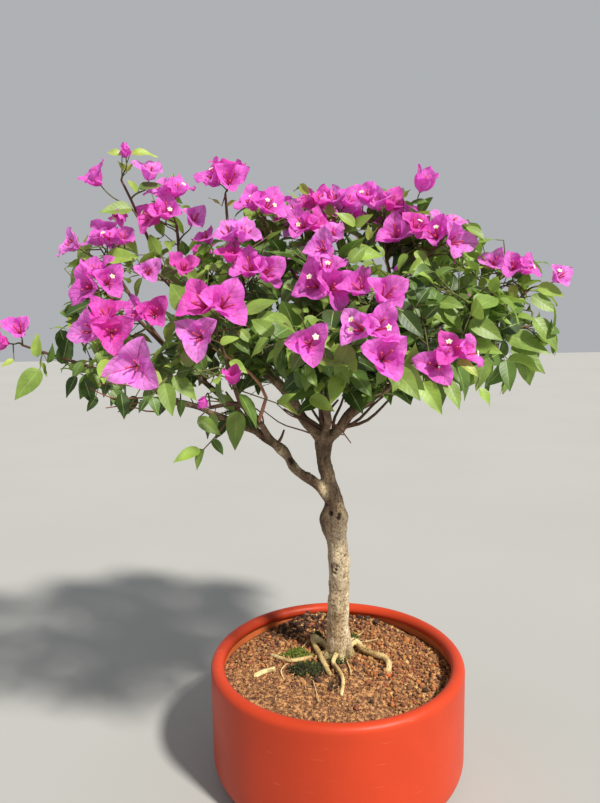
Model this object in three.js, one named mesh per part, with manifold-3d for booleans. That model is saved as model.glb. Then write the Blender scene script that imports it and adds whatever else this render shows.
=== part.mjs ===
// A bougainvillea bush trained as a small standard, in its round pot.
// Millimetres, +Z up. The origin is at the centre of the pot's flat underside,
// +X is to the right and -Y to the front. Bearings are in degrees, 0 to the right
// and 270 to the front; a reach is the distance from the pot's axis.

import * as THREE from 'three';
import { mergeVertices } from 'three/addons/utils/BufferGeometryUtils.js';
import Module from 'manifold-3d';

const wasm = await Module();
wasm.setup();

// The pot and what fills it.
const POT_RADIUS = 127;
const POT_HEIGHT = 120;
const POT_WALL = 10;
const POT_LIP = 13.5;
const POT_LIP_DEPTH = 9;
const POT_FOOT_ROUNDING = 25;
const POT_FLOOR = 12;
const POT_INSIDE_ROUNDING = 17;
const POT_SEGMENTS = 32;
const SOIL_SEGMENTS = 24;
const SOIL_LEVEL = 106;
const SOIL_EDGE_LEVEL = 101;
const SOIL_FLAT_RADIUS = 62;

// Clearances: between solids that touch on the plant, and round each mass's own space.
const JOINT_GAP = 0.3;
const SPACE_MARGIN = 0.45;
const LIMB_CLEARANCE = 1.6;
const SMALLEST_EDGE = 0.02; // shorter edges, left where surfaces cross, are taken out

// The trunk from its flat cut on the soil to the upper fork: height, lean right, lean back, radius.
const TRUNK_SIDES = 11;
const TRUNK_STEPS = 15;
const TRUNK = [
  [SOIL_LEVEL + JOINT_GAP, 3, 22, 17],
  [116, 3, 21.5, 13.6],
  [145, 2.5, 19, 11.6],
  [180, 4, 15, 10.6],
  [212, 4, 12, 11.1],
  [237, 1.5, 10, 10.3],
  [257, -1, 8, 14.2],
  [275, -1, 6, 9.8],
  [300, -6, 2, 6.9],
  [321, -10.5, 1, 7.2],
  [341, -10.5, 0, 9.2],
];

// Surface roots, each with the bearings at which it leaves the trunk and ends, how far off it ends,
// how high it arches, how thick it starts and how far it sweeps aside.
const ROOT_SIDES = 5;
const ROOT_STEPS = 5;
const ROOT_RADIUS_AT_END = 0.55;
const ROOT_LEAVES_AT = { reach: 9, height: 9 };
const ROOT_CREST_AT = 0.45;
const ROOT_BURIED = 0.6;
const ROOTS = [
  ['root_left_arch', 205, 262, 50, 13, 3.6, -26],
  ['root_front', 262, 274, 68, 6, 2.6, 12],
  ['root_right', 330, 322, 50, 6, 4.2, 8],
  ['root_left_low', 215, 216, 66, 4, 2.8, 6],
].map(([name, leave, bearing, reach, rise, radius, sweep]) => (
  { name, leave, bearing, reach, rise, radius, sweep }
));

// Boughs, each with what it grows from and how far along that, the bearing, reach and height of its
// tip, its radius at both ends, and how far it bows up.
const BOUGH_SIDES = 6;
const BOUGH_STEPS = 4;
const BOUGH_FOLLOWS = 0.12;
const BOUGHS = [
  ['left_limb', 'trunk', 0.72, 197, 84, 361, [7.0, 4.6], 2],
  ['left_low_bough', 'left_limb', 0.93, 198, 158, 391, [3.8, 2.7], -5],
  ['left_front_bough', 'left_limb', 0.72, 226, 118, 388, [3.4, 2.4], 5],
  ['left_back_bough', 'left_limb', 0.84, 178, 146, 418, [3.4, 2.4], 6],
  ['upper_left_bough', 'trunk', 0.975, 190, 76, 425, [5.6, 3.8], -6],
  ['upper_left_outer_bough', 'upper_left_bough', 0.92, 176, 132, 470, [3.2, 2.3], 5],
  ['centre_bough', 'trunk', 0.99, 130, 26, 448, [5.0, 3.0], 0],
  ['front_bough', 'trunk', 0.965, 264, 74, 404, [4.4, 2.8], -6],
  ['right_bough', 'trunk', 0.98, 330, 44, 388, [5.8, 4.4], -4],
  ['upper_right_bough', 'right_bough', 0.9, 2, 60, 458, [3.4, 2.4], 3],
  ['right_outer_bough', 'right_bough', 0.93, 354, 124, 430, [3.6, 2.6], -5],
  ['front_right_bough', 'right_bough', 0.72, 296, 98, 402, [3.4, 2.4], 4],
  ['back_bough', 'trunk', 0.955, 92, 84, 420, [4.4, 2.8], -5],
  ['back_left_bough', 'upper_left_bough', 0.45, 143, 132, 426, [3.4, 2.5], -3],
  ['back_right_bough', 'right_bough', 0.5, 42, 118, 424, [3.4, 2.5], -4],
].map(([name, from, at, bearing, reach, height, radius, bow]) => (
  { name, from, at, bearing, reach, height, radius, bow }
));

// Masses of foliage and blossom, each with the bough it grows from, the bearing, reach and height of
// its middle, how far its twigs reach from there, how many twigs it has and how many of them blossom,
// and how steeply it looks up in degrees. A shoot has no such tilt: its twigs stand along its stem.
const SHOOT = null;
const MASSES = [
  ['long_left_shoot', 'left_low_bough', 184, 284, 436, 14, 4, 2, SHOOT],
  ['left_low_blossom', 'left_low_bough', 197, 200, 452, 27, 4, 3, 25],
  ['big_front_left', 'left_low_bough', 216, 190, 434, 26, 4, 2, 10],
  ['left_lower_leaves', 'left_low_bough', 188, 200, 422, 28, 4, 0, 5],
  ['front_left_blossom', 'left_front_bough', 227, 146, 462, 26, 4, 2, 25],
  ['front_left_leaves', 'left_front_bough', 236, 148, 424, 28, 5, 1, 5],
  ['hanging_sprig', 'left_front_bough', 217, 150, 384, 12, 3, 0, SHOOT],
  ['far_left_blossom', 'left_back_bough', 174, 220, 522, 26, 4, 3, 55],
  ['left_blossom', 'left_back_bough', 188, 212, 490, 26, 4, 2, 15],
  ['tall_left_shoot', 'upper_left_outer_bough', 177, 192, 580, 22, 5, 4, SHOOT],
  ['upper_left_blossom', 'upper_left_outer_bough', 171, 148, 556, 24, 4, 4, 60],
  ['centre_left_blossom', 'upper_left_outer_bough', 194, 158, 500, 26, 4, 2, 35],
  ['upper_front_blossom', 'upper_left_bough', 219, 98, 508, 26, 4, 3, 40],
  ['top_stalk', 'upper_left_bough', 181, 99, 578, 12, 4, 3, SHOOT],
  ['top_left_blossom', 'centre_bough', 152, 72, 546, 24, 4, 3, 65],
  ['top_centre_blossom', 'centre_bough', 106, 54, 550, 26, 5, 5, 75],
  ['front_top_blossom', 'centre_bough', 262, 86, 496, 26, 4, 2, 40],
  ['front_blossom', 'front_bough', 260, 144, 446, 28, 5, 2, 15],
  ['front_low_leaves', 'front_bough', 265, 112, 422, 26, 4, 0, 0],
  ['top_right_blossom', 'upper_right_bough', 24, 50, 544, 26, 5, 5, 70],
  ['top_right_shoot', 'upper_right_bough', 0, 88, 562, 12, 3, 1, SHOOT],
  ['upper_right_blossom', 'upper_right_bough', 347, 98, 524, 26, 5, 4, 50],
  ['right_front_blossom', 'right_bough', 286, 104, 480, 26, 4, 2, 30],
  ['front_right_blossom', 'front_right_bough', 279, 160, 438, 26, 4, 3, 15],
  ['low_right_blossom', 'front_right_bough', 302, 150, 438, 27, 4, 2, 15],
  ['right_lower_leaves', 'right_outer_bough', 331, 142, 430, 28, 5, 0, 5],
  ['right_leaves', 'right_outer_bough', 325, 122, 468, 30, 5, 0, 30],
  ['right_outer_leaves', 'right_outer_bough', 354, 172, 448, 30, 5, 0, 5],
  ['right_top_blossom', 'right_outer_bough', 5, 156, 492, 27, 4, 2, 45],
  ['right_tip_shoot', 'right_outer_bough', 3, 186, 480, 16, 4, 1, SHOOT],
  ['back_top_blossom', 'back_bough', 92, 118, 520, 34, 5, 3, 50],
  ['back_low_leaves', 'back_bough', 90, 150, 448, 34, 5, 1, 10],
  ['back_left_blossom', 'back_left_bough', 138, 154, 494, 34, 5, 3, 40],
  ['back_left_low_leaves', 'back_left_bough', 138, 174, 438, 32, 5, 0, 5],
  ['back_right_blossom', 'back_right_bough', 42, 144, 492, 34, 5, 3, 40],
  ['back_right_low_leaves', 'back_right_bough', 46, 168, 440, 32, 5, 1, 5],
].map(([name, from, bearing, reach, height, spread, twigs, blossoms, tilt]) => (
  { name, from, bearing, reach, height, spread, twigs, blossoms, tilt, shoot: tilt === SHOOT }
));

// The rule by which a mass grows: its stem runs on past its middle as the first twig, and the others
// leave the stem below that, wider and wider and each a golden angle further round.
const SEED = 1907;
const SEED_PER_MASS = 101;
const SEED_PER_TWIG = 7;
const TURN_PER_MASS = 1.3;
const GOLDEN_ANGLE = THREE.MathUtils.degToRad(137.508);
const HEART = new THREE.Vector3(-10, 0, 380);
const STEM = { radius: [2.4, 1.3], sides: 4, steps: 4, sunk: 0.6, follows: [0.9, 1.1] };
const TWIG = { radius: [1.0, 0.8], sides: 3, steps: 1 };
const TWIG_TURNS_BY = [-0.3, 0.3];
const TWIG_WIDENS_BY = [0.92, 1.08];
const TWIG_LENGTHS = [0.85, 1.15];
const TWIG_ANGLES = [THREE.MathUtils.degToRad(48), THREE.MathUtils.degToRad(112)];
const WIDEST_ON_SHOOT = THREE.MathUtils.degToRad(66);
const TWIGS_LEAVE_AT = { mass: [0.82, 0.5], shoot: [0.92, 0.4] };
const STEEPEST_FALL = -0.3;
const SHORTER = [1, 0.75, 0.5];
const SHOOT_CLAIM = 6;
const REACH_PAST_TWIGS = 46;
const TWIG_TESTED_AT = [0.4, 0.6, 0.8, 1];

// Leaves, larger than life, and where they sit on a twig.
const LEAF = { length: 44, width: 31, thickness: 1.3, widest: 0.42, arch: 3, droop: 4, sunk: 0.3 };
const LEAF_SIZES = [0.85, 1.15];
const LEAVES_PER_TWIG = { blossoming: 2, leafy: 3 };
const LEAVES_FROM_TO = [0.4, 0.88];
const LEAF_ANGLE = THREE.MathUtils.degToRad(55);
const TIP_LEAF = { share: 0.97, angle: 0.2 };
const LEAF_SAG = 0.3;
const DRAWN_IN = 0.1;
const TURNS_TRIED = 5;
const NEXT_TURN = 1.3;

// A blossom is a cup of three pointed bracts at the end of a twig.
const BRACTS = 3;
const BRACT_LENGTH = 33;
const BRACT_OPENING = THREE.MathUtils.degToRad(52);
const NOTCH_DEPTH = 0.56;
const CUP_SIZES = [1, 0.8];
const CUP_THICKNESS = 3.4;
const CUP_SUNK = 1.6;
const CUP_LIFT = 0.25;

const COLOURS = {
  pot: '#d9512e',
  soil: '#8b5a3d',
  bark: '#93836a',
  root: '#b09a72',
  leaves: '#5c8d2f',
  blossom: '#d63ac6',
};

// A small random generator, so that each twig can be grown again from its own seed.
function seeded(seed) {
  let state = seed >>> 0;
  return () => {
    state = (state + 0x6d2b79f5) >>> 0;
    let t = state;
    t = Math.imul(t ^ (t >>> 15), t | 1);
    t ^= t + Math.imul(t ^ (t >>> 7), t | 61);
    return ((t ^ (t >>> 14)) >>> 0) / 4294967296;
  };
}

const UP = new THREE.Vector3(0, 0, 1);
const mix = (a, b, t) => a + (b - a) * t;

function polar(bearing, reach, height) {
  const angle = THREE.MathUtils.degToRad(bearing);
  return new THREE.Vector3(reach * Math.cos(angle), reach * Math.sin(angle), height);
}

// A direction at an angle from an axis, turned about it. Turn 0 leans towards straight up.
function lean(axis, angle, turn) {
  const side = new THREE.Vector3().crossVectors(axis, UP);
  if (side.lengthSq() < 1e-6) side.set(1, 0, 0);
  side.normalize();
  const rise = new THREE.Vector3().crossVectors(side, axis);
  return new THREE.Vector3()
    .addScaledVector(axis, Math.cos(angle))
    .addScaledVector(rise, Math.sin(angle) * Math.cos(turn))
    .addScaledVector(side, Math.sin(angle) * Math.sin(turn));
}

function solidOf(geometry) {
  const bare = geometry.clone();
  bare.deleteAttribute('normal');
  bare.deleteAttribute('uv');
  const merged = mergeVertices(bare, 1e-4);
  return new wasm.Manifold(
    new wasm.Mesh({
      numProp: 3,
      vertProperties: new Float32Array(merged.attributes.position.array),
      triVerts: new Uint32Array(merged.index.array),
    }),
  );
}

function geometryOf(solid) {
  const mesh = solid.getMesh();
  const positions = new Float32Array(mesh.numVert * 3);
  for (let i = 0; i < mesh.numVert; i++) {
    positions.set(mesh.vertProperties.subarray(i * mesh.numProp, i * mesh.numProp + 3), i * 3);
  }
  const geometry = new THREE.BufferGeometry();
  geometry.setAttribute('position', new THREE.BufferAttribute(positions, 3));
  geometry.setIndex(new THREE.BufferAttribute(mesh.triVerts, 1));
  geometry.computeVertexNormals();
  return geometry;
}

// The largest piece of a solid, with slivers that the cuts have left on it smoothed away.
function largestPiece(solid) {
  const pieces = solid.decompose().sort((a, b) => b.volume() - a.volume());
  return pieces[0].simplify(SMALLEST_EDGE);
}

// A cylinder bent along a curve and tapered: radiusAt gives its radius at each share of the way.
function limb(curve, radiusAt, sides, steps) {
  const geometry = new THREE.CylinderGeometry(1, 1, 1, sides, steps);
  const frames = curve.computeFrenetFrames(steps, false);
  const position = geometry.attributes.position;
  const point = new THREE.Vector3();
  for (let i = 0; i < position.count; i++) {
    const step = Math.round((position.getY(i) + 0.5) * steps);
    const radius = radiusAt(step / steps);
    curve.getPointAt(step / steps, point);
    point.addScaledVector(frames.normals[step], position.getX(i) * radius);
    point.addScaledVector(frames.binormals[step], -position.getZ(i) * radius);
    position.setXYZ(i, point.x, point.y, point.z);
  }
  return solidOf(geometry);
}

// A curve's points with the radius at each, to keep leaves clear of it.
function spine(curve, radiusAt, steps) {
  return Array.from({ length: steps + 1 }, (_, i) => ({
    point: curve.getPointAt(i / steps),
    radius: radiusAt(i / steps),
  }));
}

// The pot is turned from one closed profile: floor, rounded foot, straight wall and a thick round lip.
function makePot() {
  const lipRadius = POT_LIP / 2;
  const profile = [new THREE.Vector2(0, 0)];
  for (let i = 0; i <= 4; i++) {
    const angle = (i / 4) * (Math.PI / 2);
    profile.push(new THREE.Vector2(
      POT_RADIUS - POT_FOOT_ROUNDING * (1 - Math.sin(angle)),
      POT_FOOT_ROUNDING * (1 - Math.cos(angle)),
    ));
  }
  for (let i = 0; i <= 6; i++) {
    const angle = (i / 6) * Math.PI;
    profile.push(new THREE.Vector2(
      POT_RADIUS - lipRadius + lipRadius * Math.cos(angle),
      POT_HEIGHT - lipRadius + lipRadius * Math.sin(angle),
    ));
  }
  profile.push(new THREE.Vector2(POT_RADIUS - POT_LIP, POT_HEIGHT - POT_LIP_DEPTH));
  profile.push(new THREE.Vector2(POT_RADIUS - POT_WALL, POT_HEIGHT - POT_LIP_DEPTH - 1));
  profile.push(new THREE.Vector2(POT_RADIUS - POT_WALL, POT_FLOOR + POT_INSIDE_ROUNDING));
  profile.push(new THREE.Vector2(POT_RADIUS - POT_FOOT_ROUNDING, POT_FLOOR));
  profile.push(new THREE.Vector2(0, POT_FLOOR));
  return turned(profile, POT_SEGMENTS);
}

// The soil fills the pot and domes slightly towards the trunk, flat where the trunk stands.
function makeSoil() {
  const radius = POT_RADIUS - POT_LIP - JOINT_GAP;
  const footRadius = POT_RADIUS - POT_FOOT_ROUNDING - JOINT_GAP;
  return turned([
    new THREE.Vector2(0, POT_FLOOR + JOINT_GAP),
    new THREE.Vector2(footRadius, POT_FLOOR + JOINT_GAP),
    new THREE.Vector2(radius, POT_FLOOR + POT_INSIDE_ROUNDING),
    new THREE.Vector2(radius, SOIL_EDGE_LEVEL),
    new THREE.Vector2(SOIL_FLAT_RADIUS, SOIL_LEVEL),
    new THREE.Vector2(0, SOIL_LEVEL),
  ], SOIL_SEGMENTS);
}

function turned(profile, segments) {
  const geometry = new THREE.LatheGeometry(profile, segments);
  geometry.rotateX(Math.PI / 2);
  return solidOf(geometry);
}

// The trunk's centreline, smooth through its stations, and its radius, eased between them by height.
const trunkCurve = new THREE.CatmullRomCurve3(
  TRUNK.map(([height, right, back]) => new THREE.Vector3(right, back, height)),
);

function trunkRadius(share) {
  const height = trunkCurve.getPointAt(share).z;
  const above = TRUNK.findIndex(([station], i) => i > 0 && station >= height - SMALLEST_EDGE);
  const [low, high] = [TRUNK[above - 1], TRUNK[above]];
  return mix(low[3], high[3], THREE.MathUtils.smoothstep(height, low[0], high[0]));
}

function makeTrunk() {
  const rough = limb(trunkCurve, trunkRadius, TRUNK_SIDES, TRUNK_STEPS);
  return rough.trimByPlane([0, 0, 1], SOIL_LEVEL + JOINT_GAP);
}

// Each limb that has been made: its curve and radii, and a copy grown by the joint gap to cut others with.
const limbs = new Map();

function keepLimb(name, curve, radiusAt, sides, steps) {
  limbs.set(name, {
    curve,
    radiusAt,
    cutter: limb(curve, (t) => radiusAt(t) + JOINT_GAP / Math.cos(Math.PI / sides), sides, steps),
    spine: spine(curve, radiusAt, steps),
  });
}

// A limb's solid, cut clear of the one that it grows from and of the others that leave there.
const cutClear = (solid, names) =>
  largestPiece(names.reduce((rest, name) => rest.subtract(limbs.get(name).cutter), solid));

function boughCurve(bough) {
  const parent = limbs.get(bough.from).curve;
  const start = parent.getPointAt(bough.at);
  const tip = polar(bough.bearing, bough.reach, bough.height);
  const middle = start.clone().lerp(tip, 0.5);
  middle.addScaledVector(parent.getTangentAt(bough.at), start.distanceTo(tip) * BOUGH_FOLLOWS);
  middle.z += bough.bow;
  return new THREE.QuadraticBezierCurve3(start, middle, tip);
}

function rootCurve(root) {
  const [, right, back] = TRUNK[0];
  const foot = new THREE.Vector3(right, back, SOIL_LEVEL);
  const leave = foot.clone().add(polar(root.leave, ROOT_LEAVES_AT.reach, ROOT_LEAVES_AT.height));
  const end = foot.clone().add(polar(root.bearing, root.reach, root.radius * (1 - ROOT_BURIED)));
  const middle = leave.clone().lerp(end, ROOT_CREST_AT);
  middle.add(polar(root.bearing + 90, root.sweep, 0));
  middle.z = SOIL_LEVEL + root.radius + root.rise;
  return new THREE.QuadraticBezierCurve3(leave, middle, end);
}

// Which way a mass looks: outwards from the crown's heart, tilted up as its row says.
function outlook(mass) {
  const middle = polar(mass.bearing, mass.reach, mass.height);
  if (mass.shoot) return middle.sub(limbs.get(mass.from).curve.getPointAt(1)).normalize();
  const flat = middle.sub(HEART).setZ(0).normalize();
  return flat.multiplyScalar(Math.cos(THREE.MathUtils.degToRad(mass.tilt)))
    .addScaledVector(UP, Math.sin(THREE.MathUtils.degToRad(mass.tilt)));
}

// A stem leaves its bough's tip the way the bough points, and runs past its mass's middle looking outwards.
function stemCurve(mass) {
  const bough = limbs.get(mass.from);
  const heading = bough.curve.getTangentAt(1);
  const out = outlook(mass);
  const start = bough.curve.getPointAt(1).addScaledVector(heading, -bough.radiusAt(1) * STEM.sunk);
  const end = polar(mass.bearing, mass.reach, mass.height).addScaledVector(out, mass.spread);
  const third = start.distanceTo(end) / 3;
  return new THREE.CubicBezierCurve3(
    start,
    start.clone().addScaledVector(heading, third * STEM.follows[0]),
    end.clone().addScaledVector(out, -third * STEM.follows[1]),
    end,
  );
}

// The two halves of a leaf's upper side meet along its widest line, and its underside runs to a keel.
// The corners are base, tip, left, right and keel.
const LEAF_UPPER_FACES = [0, 3, 2, 1, 2, 3];
const LEAF_FACES = [...LEAF_UPPER_FACES, 0, 2, 4, 0, 4, 3, 1, 4, 2, 1, 3, 4];
const POINTS_PER_EDGE = 6;

// A leaf: its five corners placed from its root, along its midrib, with its upper side to face.
function leafCorners(root, midrib, face, size) {
  const across = new THREE.Vector3().crossVectors(midrib, face).normalize();
  const normal = new THREE.Vector3().crossVectors(across, midrib).normalize();
  const at = (share, side, lift) => root.clone()
    .addScaledVector(midrib, share * LEAF.length * size - LEAF.sunk)
    .addScaledVector(across, (side * LEAF.width * size) / 2)
    .addScaledVector(normal, lift);
  const base = at(0, 0, 0);
  const tip = at(1, 0, -LEAF.droop * size);
  const left = at(LEAF.widest, -1, LEAF.arch * size);
  const right = at(LEAF.widest, 1, LEAF.arch * size);
  const keel = at(LEAF.widest, 0, LEAF.arch * size - LEAF.thickness);
  return [base, tip, left, right, keel];
}

// A closed body of flat faces, its corners moved to their places once the faces have been laid out.
function polyhedron(corners, faces) {
  const laidOut = corners.flatMap((_, i) => [Math.cos(i), Math.sin(i), 0]);
  const geometry = new THREE.PolyhedronGeometry(laidOut, faces);
  const position = geometry.attributes.position;
  faces.forEach((corner, i) => position.setXYZ(i, ...corners[corner]));
  return solidOf(geometry);
}

// Three papery bracts in a cup: points and notches by turns round a thick base, outside and inside.
function cup(point, axis, firstTurn, size) {
  const base = point.clone().addScaledVector(axis, -CUP_SUNK);
  const inside = base.clone().addScaledVector(axis, CUP_THICKNESS);
  const rim = Array.from({ length: BRACTS * 2 }, (_, i) => {
    const length = BRACT_LENGTH * size * (i % 2 ? NOTCH_DEPTH : 1);
    const turn = firstTurn + (i * Math.PI) / BRACTS;
    return base.clone().addScaledVector(lean(axis, BRACT_OPENING, turn), length);
  });
  return [base, inside, ...rim];
}

const CUP_FACES = Array.from({ length: BRACTS * 2 }, (_, i) => {
  const here = 2 + i;
  const next = 2 + ((i + 1) % (BRACTS * 2));
  return [0, next, here, 1, here, next];
}).flat();

// Points spread over triangles, close enough together that no limb slips between them.
function pointsOver(corners, triangles) {
  const points = [];
  for (let k = 0; k < triangles.length; k += 3) {
    const [a, b, c] = [0, 1, 2].map((i) => corners[triangles[k + i]]);
    for (let u = 0; u <= POINTS_PER_EDGE; u++) {
      for (let v = 0; v <= POINTS_PER_EDGE - u; v++) {
        const point = a.clone().lerp(b, u / POINTS_PER_EDGE);
        points.push(point.addScaledVector(c, v / POINTS_PER_EDGE).addScaledVector(a, -v / POINTS_PER_EDGE));
      }
    }
  }
  return points;
}

const leafPoints = (corners) => pointsOver(corners, LEAF_UPPER_FACES);
const cupPoints = (corners) => pointsOver(corners, CUP_FACES);

// The middles of all masses, between which each keeps to its own share of the crown.
const middles = MASSES.map((mass) => polar(mass.bearing, mass.reach, mass.height));

// A wider mass claims more of the room between two middles.
const claim = (mass) => (mass.spread + (mass.shoot ? SHOOT_CLAIM : 0)) ** 2;

function insideOwnSpace(index, points, radius) {
  const own = middles[index];
  const mass = MASSES[index];
  return points.every((point) => {
    if (!mass.shoot && point.distanceTo(own) > mass.spread + REACH_PAST_TWIGS) return false;
    const mine = point.distanceToSquared(own) - claim(mass);
    return middles.every((other, j) => {
      if (j === index) return true;
      const room = point.distanceToSquared(other) - claim(MASSES[j]) - mine;
      return room / (2 * own.distanceTo(other)) > radius + SPACE_MARGIN;
    });
  });
}

function clearOfLimbs(points, radius, own) {
  const nearest = new THREE.Vector3();
  const line = new THREE.Line3();
  for (const [name, other] of limbs) {
    if (name === own) continue;
    for (let i = 0; i + 1 < other.spine.length; i++) {
      line.set(other.spine[i].point, other.spine[i + 1].point);
      const room = Math.max(other.spine[i].radius, other.spine[i + 1].radius) + radius + LIMB_CLEARANCE;
      const touches = (point) => line.closestPointToPoint(point, true, nearest).distanceTo(point) < room;
      if (points.some(touches)) return false;
    }
  }
  return true;
}

// A point at a share of the way along a bent line, and which way the line runs there.
function along(line, share) {
  const step = Math.min(Math.floor(share * (line.length - 1)), line.length - 2);
  const [from, to] = [line[step], line[step + 1]];
  return {
    point: from.clone().lerp(to, share * (line.length - 1) - step),
    heading: to.clone().sub(from).normalize(),
  };
}

// A twig's places, drawn in a fixed order from its own seed. The first is the end of the stem itself.
function twigOf(mass, massIndex, twigIndex, stem, out) {
  const random = seeded(SEED + massIndex * SEED_PER_MASS + twigIndex * SEED_PER_TWIG);
  const share = (twigIndex - 0.5) / Math.max(mass.twigs - 1, 1);
  const turn = twigIndex * GOLDEN_ANGLE + massIndex * TURN_PER_MASS + mix(...TWIG_TURNS_BY, random());
  const wide = mix(...TWIG_ANGLES, share) * mix(...TWIG_WIDENS_BY, random());
  const length = mass.spread * mix(...TWIG_LENGTHS, random());
  const leafTurn = random() * Math.PI * 2;
  const leaves = mass.blossoms > 1 ? LEAVES_PER_TWIG.blossoming : LEAVES_PER_TWIG.leafy;
  const sizes = Array.from({ length: leaves + 1 }, () => mix(...LEAF_SIZES, random()));
  if (twigIndex === 0) return { lines: [stem.slice(-2)], leafTurn, sizes };
  const start = along(stem, mix(...(mass.shoot ? TWIGS_LEAVE_AT.shoot : TWIGS_LEAVE_AT.mass), share)).point;
  const centre = mass.shoot ? start : middles[massIndex];
  const heading = lean(out, mass.shoot ? Math.min(wide, WIDEST_ON_SHOOT) : wide, turn);
  heading.z = Math.max(heading.z, STEEPEST_FALL);
  heading.normalize();
  const lines = SHORTER.map((shorter) => [start, centre.clone().addScaledVector(heading, length * shorter)]);
  return { lines, leafTurn, sizes };
}

// A leaf leans off its twig and sags a little, its upper side up and outwards.
function leafOf(line, out, share, angle, turn, size) {
  const { point, heading } = along(line, share);
  const midrib = lean(heading, angle, turn);
  midrib.z -= LEAF_SAG;
  midrib.normalize();
  return leafCorners(point, midrib, UP.clone().add(out), size);
}

function blossomOf(line, firstTurn, size) {
  const { point, heading } = along(line, 1);
  const axis = heading.clone();
  axis.z += CUP_LIFT;
  return cup(point, axis.normalize(), firstTurn, size);
}

// A leaf drawn in from its root, to see whether the rest of it crosses anything else.
function withoutRoot([base, tip, ...sides]) {
  const towardsTip = (corner, share) => corner.clone().lerp(tip, share);
  return [towardsTip(base, 2 * DRAWN_IN), tip, ...sides.map((side) => towardsTip(side, DRAWN_IN))];
}

// A mass: its stem, the twigs that leave it, and what of their leaves and blossoms fits in its own space.
function makeMass(mass, index, siblings) {
  const { curve, radiusAt, spine: stemSpine } = limbs.get(mass.name);
  const stem = stemSpine.map(({ point }) => point);
  const out = outlook(mass);
  let whole = cutClear(limb(curve, radiusAt, STEM.sides, STEM.steps), [mass.from, ...siblings]);
  const fits = (points, radius) =>
    insideOwnSpace(index, points, radius) && clearOfLimbs(points, radius, mass.name);
  const twigFits = (line) =>
    fits(TWIG_TESTED_AT.map((share) => along(line, share).point), TWIG.radius[0]);
  const bearers = [];
  for (let i = 0; i < mass.twigs; i++) {
    const twig = twigOf(mass, index, i, stem, out);
    const lines = i === 0 ? twig.lines : twig.lines.filter(twigFits);
    if (!lines.length) continue;
    const blossoms = (i < mass.blossoms ? lines : [])
      .flatMap((line) => CUP_SIZES.map((size) => ({ line, corners: blossomOf(line, twig.leafTurn, size) })));
    const blossom = blossoms.find(({ corners }) => fits(cupPoints(corners), 0));
    const line = blossom ? blossom.line : lines[0];
    if (i > 0) {
      const radius = (t) => mix(TWIG.radius[0], TWIG.radius[1], t);
      whole = whole.add(limb(new THREE.LineCurve3(...line), radius, TWIG.sides, TWIG.steps));
    }
    if (blossom) whole = whole.add(polyhedron(blossom.corners, CUP_FACES));
    bearers.push({ twig, line, blossom });
  }
  for (const { twig, line, blossom } of bearers) {
    const atTip = twig.sizes.length - 1;
    twig.sizes.forEach((size, k) => {
      const tip = k === atTip;
      if (tip && blossom) return;
      const share = tip ? TIP_LEAF.share : mix(...LEAVES_FROM_TO, (k + 0.5) / atTip);
      for (let tried = 0; tried < TURNS_TRIED; tried++) {
        const turn = twig.leafTurn + k * GOLDEN_ANGLE + tried * NEXT_TURN;
        const leaf = leafOf(line, out, share, tip ? TIP_LEAF.angle : LEAF_ANGLE, turn, size);
        if (!fits(leafPoints(leaf), 0)) continue;
        if (!polyhedron(withoutRoot(leaf), LEAF_FACES).intersect(whole).isEmpty()) continue;
        whole = whole.add(polyhedron(leaf, LEAF_FACES));
        break;
      }
    });
  }
  return largestPiece(whole);
}

const materialOf = (slot, roughness) =>
  new THREE.MeshStandardMaterial({ name: slot, color: COLOURS[slot], roughness, metalness: 0 });

const materials = {
  pot: materialOf('pot', 0.55),
  soil: materialOf('soil', 0.95),
  bark: materialOf('bark', 0.9),
  root: materialOf('root', 0.85),
  leaves: materialOf('leaves', 0.55),
  blossom: materialOf('blossom', 0.6),
};

const plant = new THREE.Group();
plant.name = 'potted_bougainvillea';

function place(name, solid, slot) {
  const mesh = new THREE.Mesh(geometryOf(solid), materials[slot]);
  mesh.name = name;
  plant.add(mesh);
}

place('pot', makePot(), 'pot');
place('soil', makeSoil(), 'soil');
place('trunk', makeTrunk(), 'bark');
keepLimb('trunk', trunkCurve, trunkRadius, TRUNK_SIDES, TRUNK_STEPS);

ROOTS.forEach((root, index) => {
  const curve = rootCurve(root);
  const radiusAt = (t) => mix(root.radius, root.radius * ROOT_RADIUS_AT_END, t);
  const rough = limb(curve, radiusAt, ROOT_SIDES, ROOT_STEPS).trimByPlane([0, 0, 1], SOIL_LEVEL + JOINT_GAP);
  keepLimb(root.name, curve, radiusAt, ROOT_SIDES, ROOT_STEPS);
  place(root.name, cutClear(rough, ['trunk', ...ROOTS.slice(0, index).map((other) => other.name)]), 'root');
});

BOUGHS.forEach((bough, index) => {
  const curve = boughCurve(bough);
  const radiusAt = (t) => mix(bough.radius[0], bough.radius[1], t);
  const before = BOUGHS.slice(0, index).filter((other) => other.from === bough.from);
  const names = [bough.from, ...before.map((other) => other.name)];
  const solid = cutClear(limb(curve, radiusAt, BOUGH_SIDES, BOUGH_STEPS), names);
  keepLimb(bough.name, curve, radiusAt, BOUGH_SIDES, BOUGH_STEPS);
  place(bough.name, solid, 'bark');
});

for (const mass of MASSES) {
  const radiusAt = (t) => mix(STEM.radius[0], STEM.radius[1], t);
  keepLimb(mass.name, stemCurve(mass), radiusAt, STEM.sides, STEM.steps);
}

MASSES.forEach((mass, index) => {
  const siblings = [...BOUGHS, ...MASSES.slice(0, index)]
    .filter((other) => other.from === mass.from)
    .map((other) => other.name);
  const slot = mass.blossoms * 2 > mass.twigs ? 'blossom' : 'leaves';
  place(mass.name, makeMass(mass, index, siblings), slot);
});

export default plant;
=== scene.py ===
import math
from itertools import combinations

import bpy
import numpy as np
from mathutils import Matrix, Quaternion, Vector, noise
from mathutils.bvhtree import BVHTree


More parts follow.
